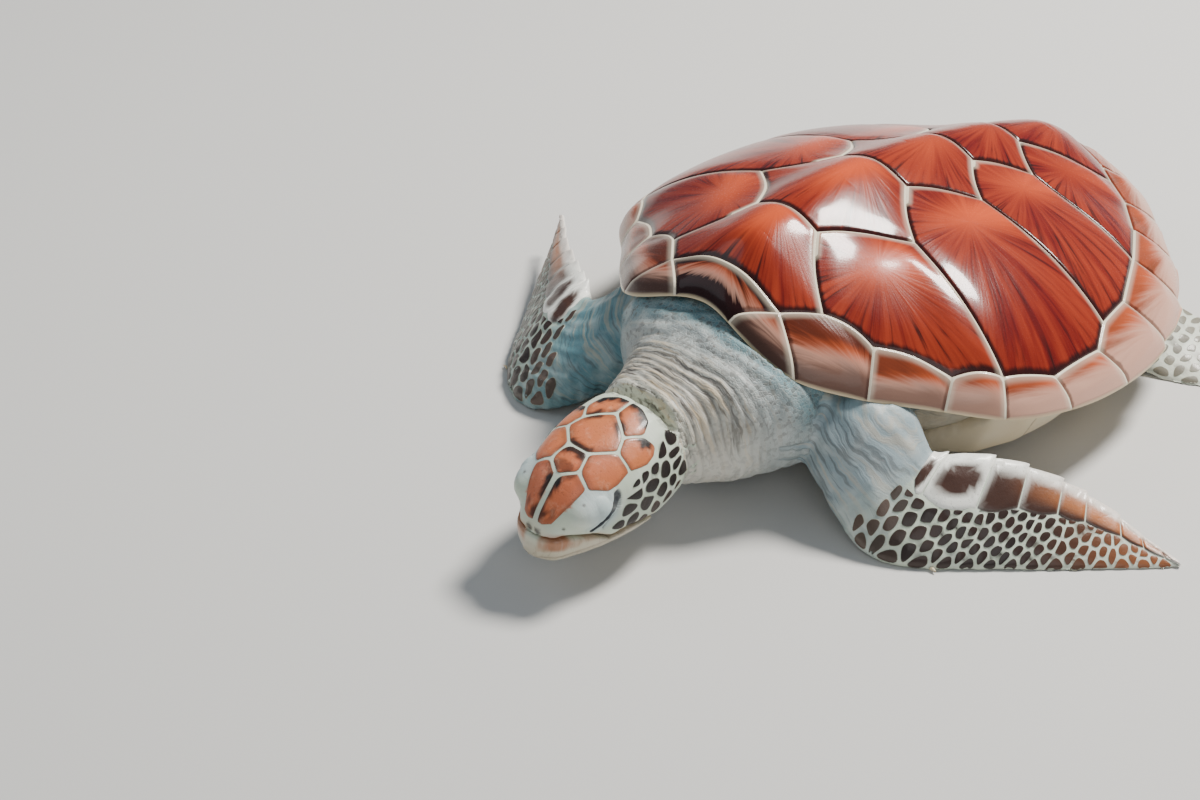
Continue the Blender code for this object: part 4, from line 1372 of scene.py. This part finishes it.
class Coat:
    """Joined scales in one mesh, laid on the skin."""

    def __init__(self):
        self.bm = bmesh.new()
        layers(self.bm, "share level", "", "coat")
        self.bm.loops.layers.uv.new("OFBake")
        skin = bpy.data.objects["skin"].data
        corners = [tuple(face.vertices) for face in skin.polygons]
        self.tree = BVHTree.FromPolygons([v.co.copy() for v in skin.vertices], corners)
        self.spots = []

    def on_skin(self, point, out):
        """Nearest place of the skin along a direction, or simply the nearest."""
        hit, normal, _, _ = self.tree.ray_cast(point + out * 0.008, -out, 0.016)
        if hit is None or (hit - point).length > 0.0045:
            hit, normal, _, _ = self.tree.find_nearest(point)
        return hit, normal

    def scale(self, corners, out, lift, groove, tone, rim, place_on_map, shares, largest=0.03):
        """One scale over corners near the skin; tone is its colour at a point."""
        middle = sum(corners, Vector()) / len(corners)
        side = (corners[0] - middle).cross(out).normalized()
        along = out.cross(side)
        flat = inset([Vector(((c - middle).dot(side), (c - middle).dot(along))) for c in corners], groove / 2)
        if len(flat) < 3:
            return
        flat = rounded(flat)
        core = sum(flat, Vector((0, 0))) / len(flat)
        size = sum((p - core).length for p in flat) / len(flat)
        centre = middle + side * core.x + along * core.y
        if not SMALLEST < size < largest or (self.on_skin(centre, out)[0] - centre).length > largest / 3:
            return
        bm = self.bm
        start = len(bm.verts)
        share, level, coat = layers(bm, "share level", "", "coat")
        floor, top = blank(bm, [bm.verts.new(middle + side * p.x + along * p.y) for p in flat])
        draw_in(bm, top, centre, shares)
        draw_in(bm, floor, centre, (0.6,))
        bm.verts.ensure_lookup_table()
        fresh = bm.verts[start:]
        for v in fresh:
            hit, normal = self.on_skin(v.co, out)
            inward = 1 - v[share]
            height = lift * (0.62 * ramp(inward, 0.0, 0.06) + 0.38 * ramp(inward, 0.06, 0.4))
            if v[share] > 0.99 or v[level] < 0.5:
                height = SUNK_EDGE if v[level] > 0.5 else SUNK_FLOOR
            v[coat] = (*(rim if v[share] > shares[0] - 0.005 else tone(hit, v[share])), 1.0)
            v.co = hit + normal * height
        self.close(fresh, out, place_on_map)
        self.spots.append((centre, size, tone(centre, 0.0)))

    def close(self, verts, out, place_on_map):
        """Turns a finished scale's faces outwards and gives it its place on the map."""
        (level,) = layers(self.bm, "level")
        uv = self.bm.loops.layers.uv["OFBake"]
        faces = list({f for v in verts for f in v.link_faces})
        bmesh.ops.recalc_face_normals(self.bm, faces=faces)
        facing = 0.0
        for face in faces:
            face.normal_update()
            if all(v[level] > 0.5 for v in face.verts):
                facing += face.normal.dot(out) * face.calc_area()
        if facing < 0:
            bmesh.ops.reverse_faces(self.bm, faces=faces)
        middle = Vector(place_on_map(sum((v.co for v in verts), Vector()) / len(verts)))
        for face in faces:
            under = all(v[level] < 0.5 for v in face.verts)
            for loop in face.loops:
                place = Vector(place_on_map(loop.vert.co))
                if not under and loop.vert[level] < 0.5:
                    place = middle + (place - middle) * MAP_MARGIN
                loop[uv].uv = (place.x * 0.5 + 0.5 * under, place.y)

    def finish(self, name, look):
        """Makes the piece, and gives the skin under each scale that scale's colour."""
        finish_piece(name, self.bm, look, (), 180.0)
        tree = nearest([place for place, _, _ in self.spots])
        skin = bpy.data.objects["skin"].data
        marks = skin.attributes["coat"].data
        for v in skin.vertices:
            _, number, gap = tree.find(v.co)
            if gap is not None and gap < self.spots[number][1] * 0.5:
                marks[v.index].color = (*self.spots[number][2], 1.0)


PREFRONTAL = (
    (0.062, 0.006), (0.062, 0.050), (0.104, 0.114), (0.158, 0.141), (0.240, 0.166), (0.315, 0.188), (0.355, 0.098),
    (0.282, 0.006),
)
FRONTAL = ((0.282, 0.0), (0.355, 0.098), (0.474, 0.068), (0.474, -0.068), (0.355, -0.098))
SUPRAOCULAR = (
    (0.355, 0.098), (0.315, 0.188), (0.400, 0.262), (0.470, 0.280), (0.572, 0.258), (0.592, 0.178), (0.474, 0.068),
)
FRONTOPARIETAL = (
    (0.474, -0.068), (0.474, 0.068), (0.592, 0.178), (0.690, 0.140), (0.803, 0.0), (0.690, -0.140), (0.592, -0.178),
)
TEMPORAL = (
    (0.592, 0.178), (0.572, 0.258), (0.625, 0.296), (0.690, 0.330), (0.760, 0.318), (0.806, 0.262), (0.788, 0.205),
    (0.690, 0.140),
)
PARIETAL = ((0.803, 0.0), (0.690, 0.140), (0.788, 0.205), (0.885, 0.165), (0.932, 0.085), (0.940, 0.0))
SMUDGES = (  # along, side, reach and strength of dark smudges on the head's plates
    (0.465, 0.030, 0.050, 0.95), (0.440, 0.060, 0.030, 0.8), (0.250, 0.012, 0.042, 1.0), (0.185, 0.010, 0.032, 0.9),
    (0.320, 0.080, 0.022, 0.6), (0.735, 0.085, 0.042, 0.9), (0.700, 0.115, 0.030, 0.7), (0.500, 0.055, 0.024, 0.8),
    (0.945, 0.040, 0.060, 1.0), (0.920, 0.110, 0.060, 1.0), (0.870, 0.160, 0.050, 1.0), (0.800, 0.020, 0.022, 0.6),
    (0.760, 0.222, 0.040, 1.0), (0.100, 0.012, 0.036, 0.8), (0.340, 0.020, 0.040, 0.6), (0.300, 0.050, 0.024, 0.5),
    (0.130, 0.085, 0.018, 0.5),
)
CHEEK = (  # along and up of the scales behind the eye
    (0.829, 0.270), (0.915, 0.245), (0.707, 0.225), (0.794, 0.152), (0.880, 0.115), (0.567, 0.250), (0.658, 0.150),
    (0.533, 0.190), (0.469, 0.118), (0.592, 0.055), (0.395, 0.050), (0.724, 0.044), (0.480, 0.025), (0.830, 0.035),
    (0.892, 0.180), (0.640, -0.010), (0.760, -0.035), (0.540, -0.035), (0.905, 0.030), (0.860, -0.040), (0.640, 0.240),
)
CHEEK_TOP = (
    (0.36, 0.070), (0.42, 0.150), (0.48, 0.225), (0.54, 0.275), (0.60, 0.285), (0.69, 0.262), (0.76, 0.268),
    (0.82, 0.312), (0.902, 0.332), (1.0, 0.33),
)
CHEEK_BOTTOM = ((0.30, 0.055), (0.38, 0.020), (0.46, -0.040), (0.80, -0.07), (1.0, -0.03))


def head_map(p):
    """Place on the head's unrolled skin: round it, and along it."""
    place = head_place(p)
    return 0.5 + math.atan2(place.x, place.z - 0.02) / (2 * math.pi), min(max(place.y, 0.0), 1.0)


HEAD_PLATES = (
    (PREFRONTAL, (1, -1)), (FRONTAL, (1,)), (SUPRAOCULAR, (1, -1)), (FRONTOPARIETAL, (1,)),
    (TEMPORAL, (1, -1)), (PARIETAL, (1, -1)),
)
HEAD_RINGS = (0.975, 0.945, 0.84, 0.67, 0.46, 0.25)
CHEEK_RINGS = (0.93, 0.85, 0.62, 0.32)


class TURTLE_OT_head_scales(bpy.types.Operator):
    """Make the plates on top of the head and the dark scales behind the eyes"""

    bl_idname = "turtle.head_scales"
    bl_label = "Head scales"

    def execute(self, context):
        scales = context.scene.turtle_scales
        skin = context.scene.turtle_skin
        coat = Coat()
        turned = HEAD_FRAME.to_3x3()
        up = (turned @ Vector((0, 0, 1))).normalized()

        def on_top(along, aside, side):
            hit = None
            if aside < 0.24:
                hit = coat.tree.ray_cast(HEAD_FRAME @ Vector((aside * side, along, 0.9)), -up)[0]
            return hit or coat.tree.find_nearest(HEAD_FRAME @ Vector((aside * side, along, 0.285)))[0]

        def plate_tone(p, share):
            place = head_place(p)
            dark = 0.0
            for along, aside, reach, strength in SMUDGES:
                gap = math.hypot(place.y - along, abs(place.x) - aside) - 0.018 * noise.noise(p * 300)
                dark = max(dark, strength * ramp(reach * 1.25 - gap, 0.0, reach * 0.6))
            warmth = 0.35 * ramp(place.y, 0.25, 0.6) + 0.35 * noise.noise(p * 90)
            warm = mix(scales.terracotta, scales.tan, warmth)
            return mix(mix(warm, scales.brown, 0.45 * ramp(share, 0.70, 0.9)), scales.black, dark)

        rim = mix(scales.brown, skin.mint, 0.30)
        for outline, side in ((outline, side) for outline, sides in HEAD_PLATES for side in sides):
            corners = [on_top(along, aside, side) for along, aside in outline]
            fine = [here.lerp(after, k / 3) for here, after in around(corners) for k in range(3)]
            middle = sum(corners, Vector()) / len(corners)
            spread = [(a - middle).cross(b - middle) for a, b in around(corners)]
            out = sum(spread, Vector()).normalized()
            if out.dot(up) < 0:
                out = -out
            coat.scale(fine, out, scales.height, scales.groove, plate_tone, rim, head_map, HEAD_RINGS)
        seeds = [Vector(p) for p in CHEEK]
        for side in (1, -1):
            out = (turned @ Vector((side, 0, 0.25))).normalized()
            for seed, cell in zip(seeds, cells(seeds, 0.075)):
                placed = []
                for p in cell:
                    height = min(max(p.y, smooth(CHEEK_BOTTOM, p.x)), smooth(CHEEK_TOP, p.x) - 0.012)
                    corner = HEAD_FRAME @ Vector((side * 0.30, p.x, height))
                    placed.append(coat.tree.ray_cast(corner + out * 0.03, -out)[0] or corner)
                fade = ramp(seed.y, -0.03, 0.04)
                tone = mix(scales.brown, scales.black, 0.7 + 0.3 * fade)
                brown = mix(tone, scales.brown, 0.2)
                coat.scale(
                    placed, out, scales.height * 0.8, 0.0026 - 0.0009 * fade,
                    lambda p, share, a=tone, b=brown: mix(a, b, 0.3 + 0.5 * noise.noise(p * 200)),
                    mix(tone, skin.mint, 0.25), head_map, CHEEK_RINGS,
                )
        coat.finish("head_scales", scale_material("head_plates", 0.40, 0.16, 0.45))
        return {"FINISHED"}


def limb_surface(stations, t, v, face):
    """Point of a limb's upper or lower face at a station and a chord place, and the way out of it."""
    lead, trail = edges_at(stations, t)
    thick = curve_point([(s[2], 0, 0) for s in stations], t).x
    chord = lead - trail
    hand = 1 if stations[0][0][0] > 0 else -1
    run = middle_at(stations, t + 0.1) - middle_at(stations, t - 0.1)
    facing = chord.cross(run).normalized() * face * hand
    bulge = math.sqrt(max(1 - v * v, 0.0)) * thick / 2
    return (lead + trail) / 2 - chord * v / 2 + facing * bulge, facing


def blade_seeds(stations, region, spacing, chance):
    """Jittered rows of seeds over a limb's blade as (station, chord place) pairs, in metres along and across."""
    seeds = []
    t = region[0]
    row = 0
    while t < region[1]:
        along, across = spacing(t)
        count = max(1, round(2 * half_width(stations, t) * 0.94 / across))
        for k in range(count):
            v = -0.94 + 1.88 * (k + 0.5 + (0.25 if row % 2 else -0.25) + chance.uniform(-0.13, 0.13)) / count
            seeds.append((t + chance.uniform(-0.16, 0.16) * along / PITCH_ALONG, min(max(v, -0.95), 0.95)))
        run = (middle_at(stations, t + 0.05) - middle_at(stations, t)).length
        t += 0.05 * along / max(run, 1e-5)
        row += 1
    return seeds


PITCH_ALONG = 0.028  # metres from station to station where cells are cut
PITCH_ACROSS = 0.62
TRAILING_LEFT = (  # stations where the trailing scales meet, and the chord place of their inner ends
    (3.02, 0.42), (3.46, 0.20), (4.69, 0.08), (5.39, 0.20), (6.07, 0.26), (6.57, 0.30), (7.32, 0.34), (7.85, 0.34),
    (8.35, 0.34), (8.80, 0.34),
)
TRAILING_RIGHT = (
    (3.25, 0.36), (3.95, 0.24), (4.90, 0.24), (5.70, 0.28), (6.40, 0.30), (7.10, 0.34), (7.80, 0.34), (8.35, 0.34),
    (8.80, 0.34),
)


def cover_limb(coat, stations, region, spacing, seed, colours, groove, height, rows=()):
    """Scales on both faces of a limb's blade, short of the large ones along its trailing edge."""

    def edge(t):
        """Chord place where the scales of the trailing edge start; just past the edge where there are none."""
        return smooth(rows, t) if rows and rows[0][0] < t < rows[-1][0] else 1.005

    for face, pale in ((1, 0.0), (-1, 0.6)):
        chance = random.Random(seed)
        seeds = blade_seeds(stations, region, spacing, chance)
        flat = [Vector((t * PITCH_ALONG, v * half_width(stations, t) * PITCH_ACROSS)) for t, v in seeds]
        for (t, v), cell in zip(seeds, cells(flat, 0.011)):
            if t < region[0] + region[2] * (v + 1) / 2 or v > edge(t) + 0.06:
                continue
            corners = []
            for p in cell:
                place = p.x / PITCH_ALONG
                wide = max(half_width(stations, place), 0.002) * PITCH_ACROSS
                across = min(max(p.y / wide, -0.985), edge(place) - 0.02)
                corners.append(limb_surface(stations, place, across, face)[0])
            out = limb_surface(stations, t, min(max(v, -0.9), 0.9), face)[1]
            tone, rim, part = colours(t, v, pale, chance)
            coat.scale(
                corners, out, height, groove / part, lambda p, share, tone=tone: tone, mix(tone, rim, 0.45),
                limb_map(stations, t, face), (0.93, 0.87, 0.5), 0.012,
            )


def limb_map(stations, t, face):
    """Lays points near a station onto the unfolded skin of the limb's upper or lower face."""
    lead, trail = edges_at(stations, t)
    step = middle_at(stations, t + 0.1) - middle_at(stations, t - 0.1)
    across = (trail - lead).normalized()

    def place(p):
        away = p - (lead + trail) / 2
        ahead = t + 0.2 * away.dot(step) / step.length_squared
        return (0.25 if face > 0 else 0.75) + away.dot(across) * 3.0, (ahead + 0.5) / (len(stations) + 0.5)

    return place


EDGE_SLANT = 0.12
EDGE_LIFT = 0.0009
EDGE_RINGS = (0.94, 0.84, 0.66, 0.44, 0.2)


def edge_outline(rows, start, end, step, width):
    """Outline of a trailing edge scale as (station, chord place) pairs."""
    inner_start, inner_end = smooth(rows, start), smooth(rows, end)
    outline = []
    for k in range(7):
        t = start + (end - start) * k / 6
        outline.append((t + EDGE_SLANT, smooth(rows, t) - 0.09 * math.sin(math.pi * k / 6)))
    for k in range(1, 7):
        outline.append((end + EDGE_SLANT * (1 - k / 6), inner_end + (1.0 + step / width - inner_end) * k / 6))
    for k in range(1, 9):
        s = k / 8
        outline.append((end + (start - end) * s, 1.0 + (step * (1 - s) ** 1.3 + 0.0004) / width))
    for k in range(1, 6):
        outline.append((start + EDGE_SLANT * k / 6, 1.0 + (inner_start - 1.0) * k / 6))
    centre = Vector(((start + end + EDGE_SLANT) / 2, (inner_start + inner_end) / 4 + 0.5, 0.0))
    return outline, centre


def edge_scale(coat, stations, rows, start, end, step, tone, edge_tone):
    """Scale folded over the trailing edge, standing out in a step at its far end."""
    bm = coat.bm
    share, level, mark = layers(bm, "share level", "", "coat")
    first = len(bm.verts)
    half = (start + end) / 2
    outline, centre = edge_outline(rows, start, end, step, half_width(stations, half))
    floor, top = blank(bm, [bm.verts.new((t, v, 0.0)) for t, v in outline])
    for face in (top, floor):
        draw_in(bm, face, centre, EDGE_RINGS)
    bm.verts.ensure_lookup_table()
    fresh = bm.verts[first:]
    for v in fresh:
        t, across = v.co.x, v.co.y
        face = 1 if v[level] > 0.5 else -1
        base, facing = limb_surface(stations, t, min(across, 1.0), face)
        base = coat.tree.ray_cast(base + facing * 0.008, -facing, 0.012)[0] or base
        lead, trail = edges_at(stations, t)
        lift = EDGE_LIFT * ramp(1.0 - v[share], 0.0, 0.10)
        lift += 0.00022 if across > 0.8 else -0.0006 * ramp(v[share], 0.90, 1.0)
        v[mark] = (*tone(t, across, v[share], face), 1.0)
        v.co = base + (trail - lead) / 2 * max(across - 1.0, 0.0) + facing * lift
    coat.close(fresh, limb_surface(stations, half, 0.6, 1)[1], limb_map(stations, half, 1))
    coat.spots.append((bm.verts[first].co.copy(), 0.001, edge_tone))


WHITE = (0.90, 0.90, 0.84)
FLIPPER_COATS = (  # side, limb, seed of its scales, station they begin at, scales of the trailing edge
    ("left", ARM_LEFT, 5, 2.30, TRAILING_LEFT), ("right", ARM_RIGHT, 9, 2.05, TRAILING_RIGHT),
)
STEP_NEAR, STEP_FAR = 0.0026, 0.0014  # how far a trailing scale stands out behind the edge
FLIPPER_END = (8.8, 1.15)  # last station with scales, and how much later they begin at the trailing edge
FLIPPER_GROOVE = 0.0013
FOOT_SPAN = (1.6, 5.9, 0.4)
FOOT_GROOVE = 0.0026


class TURTLE_OT_flipper_scales(bpy.types.Operator):
    """Make the scales of the front flippers"""

    bl_idname = "turtle.flipper_scales"
    bl_label = "Front flipper scales"

    def execute(self, context):
        scales = context.scene.turtle_scales
        skin = context.scene.turtle_skin
        dark = mix(scales.black, scales.brown, 0.55)

        def spacing(t):
            near = ramp(t, 3.6, 5.0)
            return 0.0080 - 0.0020 * near, 0.0128 - 0.0034 * near

        def colours(t, v, pale, chance):
            early = 1 - ramp(t + 0.5 * v, 2.6, 3.7)
            late = ramp(t, 5.8, 8.2)
            tone = mix(scales.black, scales.brown, 0.1 + 0.5 * chance.random() * (0.4 + early))
            tone = mix(tone, mix(scales.brown, skin.mint, 0.15), 0.40 * early)
            tone = mix(tone, mix(scales.brown, scales.tan, 0.5), 0.75 * late)
            tone = mix(tone, skin.pale, pale)
            return tone, skin.mint, 1.0 - 0.40 * early * chance.random()

        for side, stations, seed, begin, rows in FLIPPER_COATS:
            coat = Coat()
            span = (begin, *FLIPPER_END)
            height = scales.height * 0.9
            cover_limb(coat, stations, span, spacing, seed, colours, FLIPPER_GROOVE, height, rows)
            for number, ((start, _), (end, _)) in enumerate(zip(rows, rows[1:])):

                def tone(t, across, share, face, start=start, end=end, number=number):
                    s = (t - start) / (end - start)
                    warmth = ramp(t + 0.5 * (across - 0.6), 5.0, 7.0) * 0.9 * ramp(across, 0.30, 0.56)
                    edge = ramp(across, 0.70, 0.90) * (0.75 + 0.25 * ramp(6.5 - t, 0.0, 2.0))
                    front = ramp(0.30 - s, 0.0, 0.26) * ramp(7.5 - t, 0.0, 2.0)
                    if number < 2:
                        edge = ramp(math.hypot((s - 0.56) * 1.25, (across - 0.55) * 1.7), 0.42, 0.62)
                    bare = max(edge, front * 0.85, ramp(share, 0.93, 0.985) * 0.8, ramp(t, 7.9, 8.9) * 0.7)
                    result = mix(mix(dark, scales.tan, warmth), WHITE, bare)
                    return result if face > 0 else mix(result, WHITE, 0.6)

                step = STEP_NEAR if number < 6 else STEP_FAR
                edge_scale(coat, stations, rows, start, end, step, tone, WHITE)
            name = f"flipper_scales_{side}"
            coat.finish(name, scale_material(name, 0.36, 0.25, 0.10))
        return {"FINISHED"}


class TURTLE_OT_foot_scales(bpy.types.Operator):
    """Make the scales of the hind feet"""

    bl_idname = "turtle.foot_scales"
    bl_label = "Hind foot scales"

    def execute(self, context):
        scales = context.scene.turtle_scales
        skin = context.scene.turtle_skin

        def spacing(t):
            return 0.0085, 0.0105

        def colours(t, v, pale, chance):
            tone = mix(mix(scales.brown, skin.mint, 0.30), scales.black, 0.35 * chance.random())
            return mix(tone, skin.pale, pale), skin.mint, 1.0

        for side, stations, seed in (("left", LEG_LEFT, 3), ("right", LEG_RIGHT, 4)):
            coat = Coat()
            cover_limb(coat, stations, FOOT_SPAN, spacing, seed, colours, FOOT_GROOVE, scales.height * 0.7)
            name = f"foot_scales_{side}"
            coat.finish(name, scale_material(name, 0.42, 0.2, 0.10))
        return {"FINISHED"}


# ------------------------------------------------------------ horn, eyes and belly

BEAK_VOXEL, CLAW_VOXEL, BELLY_VOXEL = 0.0009, 0.00035, 0.0020
SHEATH = 0.0005  # how far the horn of the beak stands over its solid


class TURTLE_OT_beak(bpy.types.Operator):
    """Make the horny sheaths of the beak and the lower jaw"""

    bl_idname = "turtle.beak"
    bl_label = "Beak and jaw"

    def execute(self, context):
        look = beak_material()
        for name in ("beak", "jaw"):
            bm = applied(solid_copy((name,)), "REMESH", mode="VOXEL", voxel_size=BEAK_VOXEL)
            relax(bm, 4)
            bm.normal_update()
            push(bm, SHEATH)
            (coat,) = layers(bm, "", colours="coat")
            for v in bm.verts:
                v[coat] = (*beak_tone(v.co, head_place(v.co)), 1.0)
            finish_piece(f"{name}_sheath", bm, look, (name,), 180.0)
        return {"FINISHED"}


class TURTLE_OT_eyes(bpy.types.Operator):
    """Make the eyeballs behind the nearly closed lids"""

    bl_idname = "turtle.eyes"
    bl_label = "Eyes"

    def execute(self, context):
        look = eye_material()
        for name, side in (("eye_left", 1), ("eye_right", -1)):
            bm = bmesh.new()
            bmesh.ops.create_uvsphere(bm, u_segments=48, v_segments=32, radius=EYE_RADIUS * HEAD)
            bmesh.ops.translate(bm, vec=eye_middle(side), verts=bm.verts)
            finish_piece(f"{name}_ball", bm, look, (name,), 180.0)
        return {"FINISHED"}


class TURTLE_OT_claws(bpy.types.Operator):
    """Finish the claws on the front flippers"""

    bl_idname = "turtle.claws"
    bl_label = "Claws"

    def execute(self, context):
        look = claw_material()
        for name in ("claw_left", "claw_right"):
            bm = applied(solid_copy((name,)), "REMESH", mode="VOXEL", voxel_size=CLAW_VOXEL)
            relax(bm, 3)
            finish_piece(f"{name}_horn", bm, look, (name,), 180.0)
        return {"FINISHED"}


BELLY_SEAMS = (-0.118, -0.080, -0.018, 0.048, 0.094, 0.130)  # across the belly, in metres rearwards of the origin
LINING_REACH = 0.018  # how far above the plastron the trunk may be for the two to be joined


class TURTLE_OT_plastron(bpy.types.Operator):
    """Make the plates of the under shell"""

    bl_idname = "turtle.plastron"
    bl_label = "Plastron"

    def execute(self, context):
        bm = applied(solid_copy(("plastron",)), "REMESH", mode="VOXEL", voxel_size=BELLY_VOXEL)
        relax(bm, 8)
        bm.normal_update()
        trunk = BVHTree.FromBMesh(solid_copy(("trunk",)))
        lining = []
        for v in bm.verts:
            spot, _, _, gap = trunk.find_nearest(v.co, LINING_REACH)
            if spot is not None and gap > 1e-5:
                facing = (spot - v.co).dot(v.normal) / gap
                v.co += (spot - v.co) * (1 + 0.0012 / gap) * ramp(facing, 0.15, 0.55)
                lining.append(v)
        relax(bm, 1, lining)
        bm = applied(bm, "DECIMATE", ratio=0.5)
        (seam,) = layers(bm, "seam")
        for v in bm.verts:
            x, y = v.co.x, v.co.y
            wave = 0.006 * math.sin(abs(x) * 40)
            near = [abs(y + wave - at) for at in BELLY_SEAMS]
            v[seam] = min(abs(x + 0.0015 * math.sin(y * 60)), abs(abs(x) - 0.088 - 0.01 * math.cos(y * 14)), *near)
            v.co.z = max(v.co.z, 0.0)
        finish_piece("plastron_plates", bm, belly_horn(), ("plastron",), 180.0)
        return {"FINISHED"}


FLOOR_RADIUS = 12.0
SKY = (0.74, 0.87, 1.0, 1.0)
SKY_STRENGTH = 0.24
CAMERA_PLACE = (1.0020, -1.2624, 1.0584)
CAMERA_TARGET = Vector((-0.0415, -0.2038, 0.05))
CAMERA_LENS = 87.12
LAMP_TARGET = Vector((0.0, -0.05, 0.06))
LAMPS = (  # name, place, share of the power, width in metres, colour
    ("key", (0.32, 1.15, 2.02), 1.0, 0.6, (1.0, 0.96, 0.90)),
    ("fill", (-1.6, -1.2, 1.5), 0.07, 1.8, (0.88, 0.94, 1.0)),
    ("front", (1.6, -1.4, 1.3), 0.09, 1.6, (1.0, 0.98, 0.95)),
)


class TURTLE_OT_stage(bpy.types.Operator):
    """Set up the floor, the lights and the camera"""

    bl_idname = "turtle.stage"
    bl_label = "Floor, light and camera"

    def execute(self, context):
        scene = context.scene
        stage = scene.turtle_stage

        def stand(data, place, target):
            """Puts a lamp or a camera at a place, turned to a target."""
            holder = bpy.data.objects.new(data.name, data)
            holder.location = place
            holder.rotation_euler = (target - Vector(place)).to_track_quat("-Z", "Y").to_euler()
            scene.collection.objects.link(holder)
            return holder

        bm = bmesh.new()
        bmesh.ops.create_circle(bm, cap_ends=True, segments=stage.sides, radius=FLOOR_RADIUS)
        mesh = bpy.data.meshes.new("floor")
        bm.to_mesh(mesh)
        bm.free()
        mesh.materials.append(floor_material(stage.floor))
        floor = bpy.data.objects.new("floor", mesh)
        scene.collection.objects.link(floor)
        world = bpy.data.worlds.new("studio")
        world.use_nodes = True
        sky = world.node_tree.nodes["Background"].inputs
        sky["Color"].default_value = SKY
        sky["Strength"].default_value = SKY_STRENGTH
        scene.world = world
        for name, place, share, width, tone in LAMPS:
            lamp = bpy.data.lights.new(name, "AREA")
            lamp.shape = "DISK"
            lamp.size = width
            lamp.energy = stage.power * share
            lamp.color = tone
            stand(lamp, place, LAMP_TARGET)
        camera = bpy.data.cameras.new("camera")
        camera.lens = CAMERA_LENS
        camera.sensor_width = 36.0
        camera.clip_end = 50.0
        scene.camera = stand(camera, CAMERA_PLACE, CAMERA_TARGET)
        return {"FINISHED"}


class VIEW3D_PT_turtle(bpy.types.Panel):
    """Steps that build the turtle"""

    bl_label = "Green turtle"
    bl_space_type = "VIEW_3D"
    bl_region_type = "UI"
    bl_category = "Turtle"

    def draw(self, context):
        for step in STEPS:
            self.layout.operator(step.bl_idname)
        for group in GROUPS:
            held = getattr(context.scene, group)
            for key in held.bl_rna.properties.keys():
                if key not in ("rna_type", "name"):
                    self.layout.prop(held, key)


STEPS = (
    TURTLE_OT_stage, TURTLE_OT_carapace, TURTLE_OT_plastron, TURTLE_OT_skin, TURTLE_OT_head_scales,
    TURTLE_OT_flipper_scales, TURTLE_OT_foot_scales, TURTLE_OT_beak, TURTLE_OT_eyes, TURTLE_OT_claws,
)
GROUPS = {
    "turtle_shell": TurtleShell,
    "turtle_skin": TurtleSkin,
    "turtle_scales": TurtleScales,
    "turtle_stage": TurtleStage,
}


def register():
    for group in GROUPS.values():
        bpy.utils.register_class(group)
    for step in STEPS:
        bpy.utils.register_class(step)
    bpy.utils.register_class(VIEW3D_PT_turtle)
    for name, group in GROUPS.items():
        setattr(bpy.types.Scene, name, PointerProperty(type=group))


def unregister():
    for name in GROUPS:
        delattr(bpy.types.Scene, name)
    bpy.utils.unregister_class(VIEW3D_PT_turtle)
    for step in reversed(STEPS):
        bpy.utils.unregister_class(step)
    for group in reversed(GROUPS.values()):
        bpy.utils.unregister_class(group)


def main():
    register()
    bpy.ops.turtle.stage()
    bpy.ops.turtle.carapace()
    bpy.ops.turtle.plastron()
    bpy.ops.turtle.skin()
    bpy.ops.turtle.head_scales()
    bpy.ops.turtle.flipper_scales()
    bpy.ops.turtle.foot_scales()
    bpy.ops.turtle.beak()
    bpy.ops.turtle.eyes()
    bpy.ops.turtle.claws()


if __name__ == "__main__":
    main()
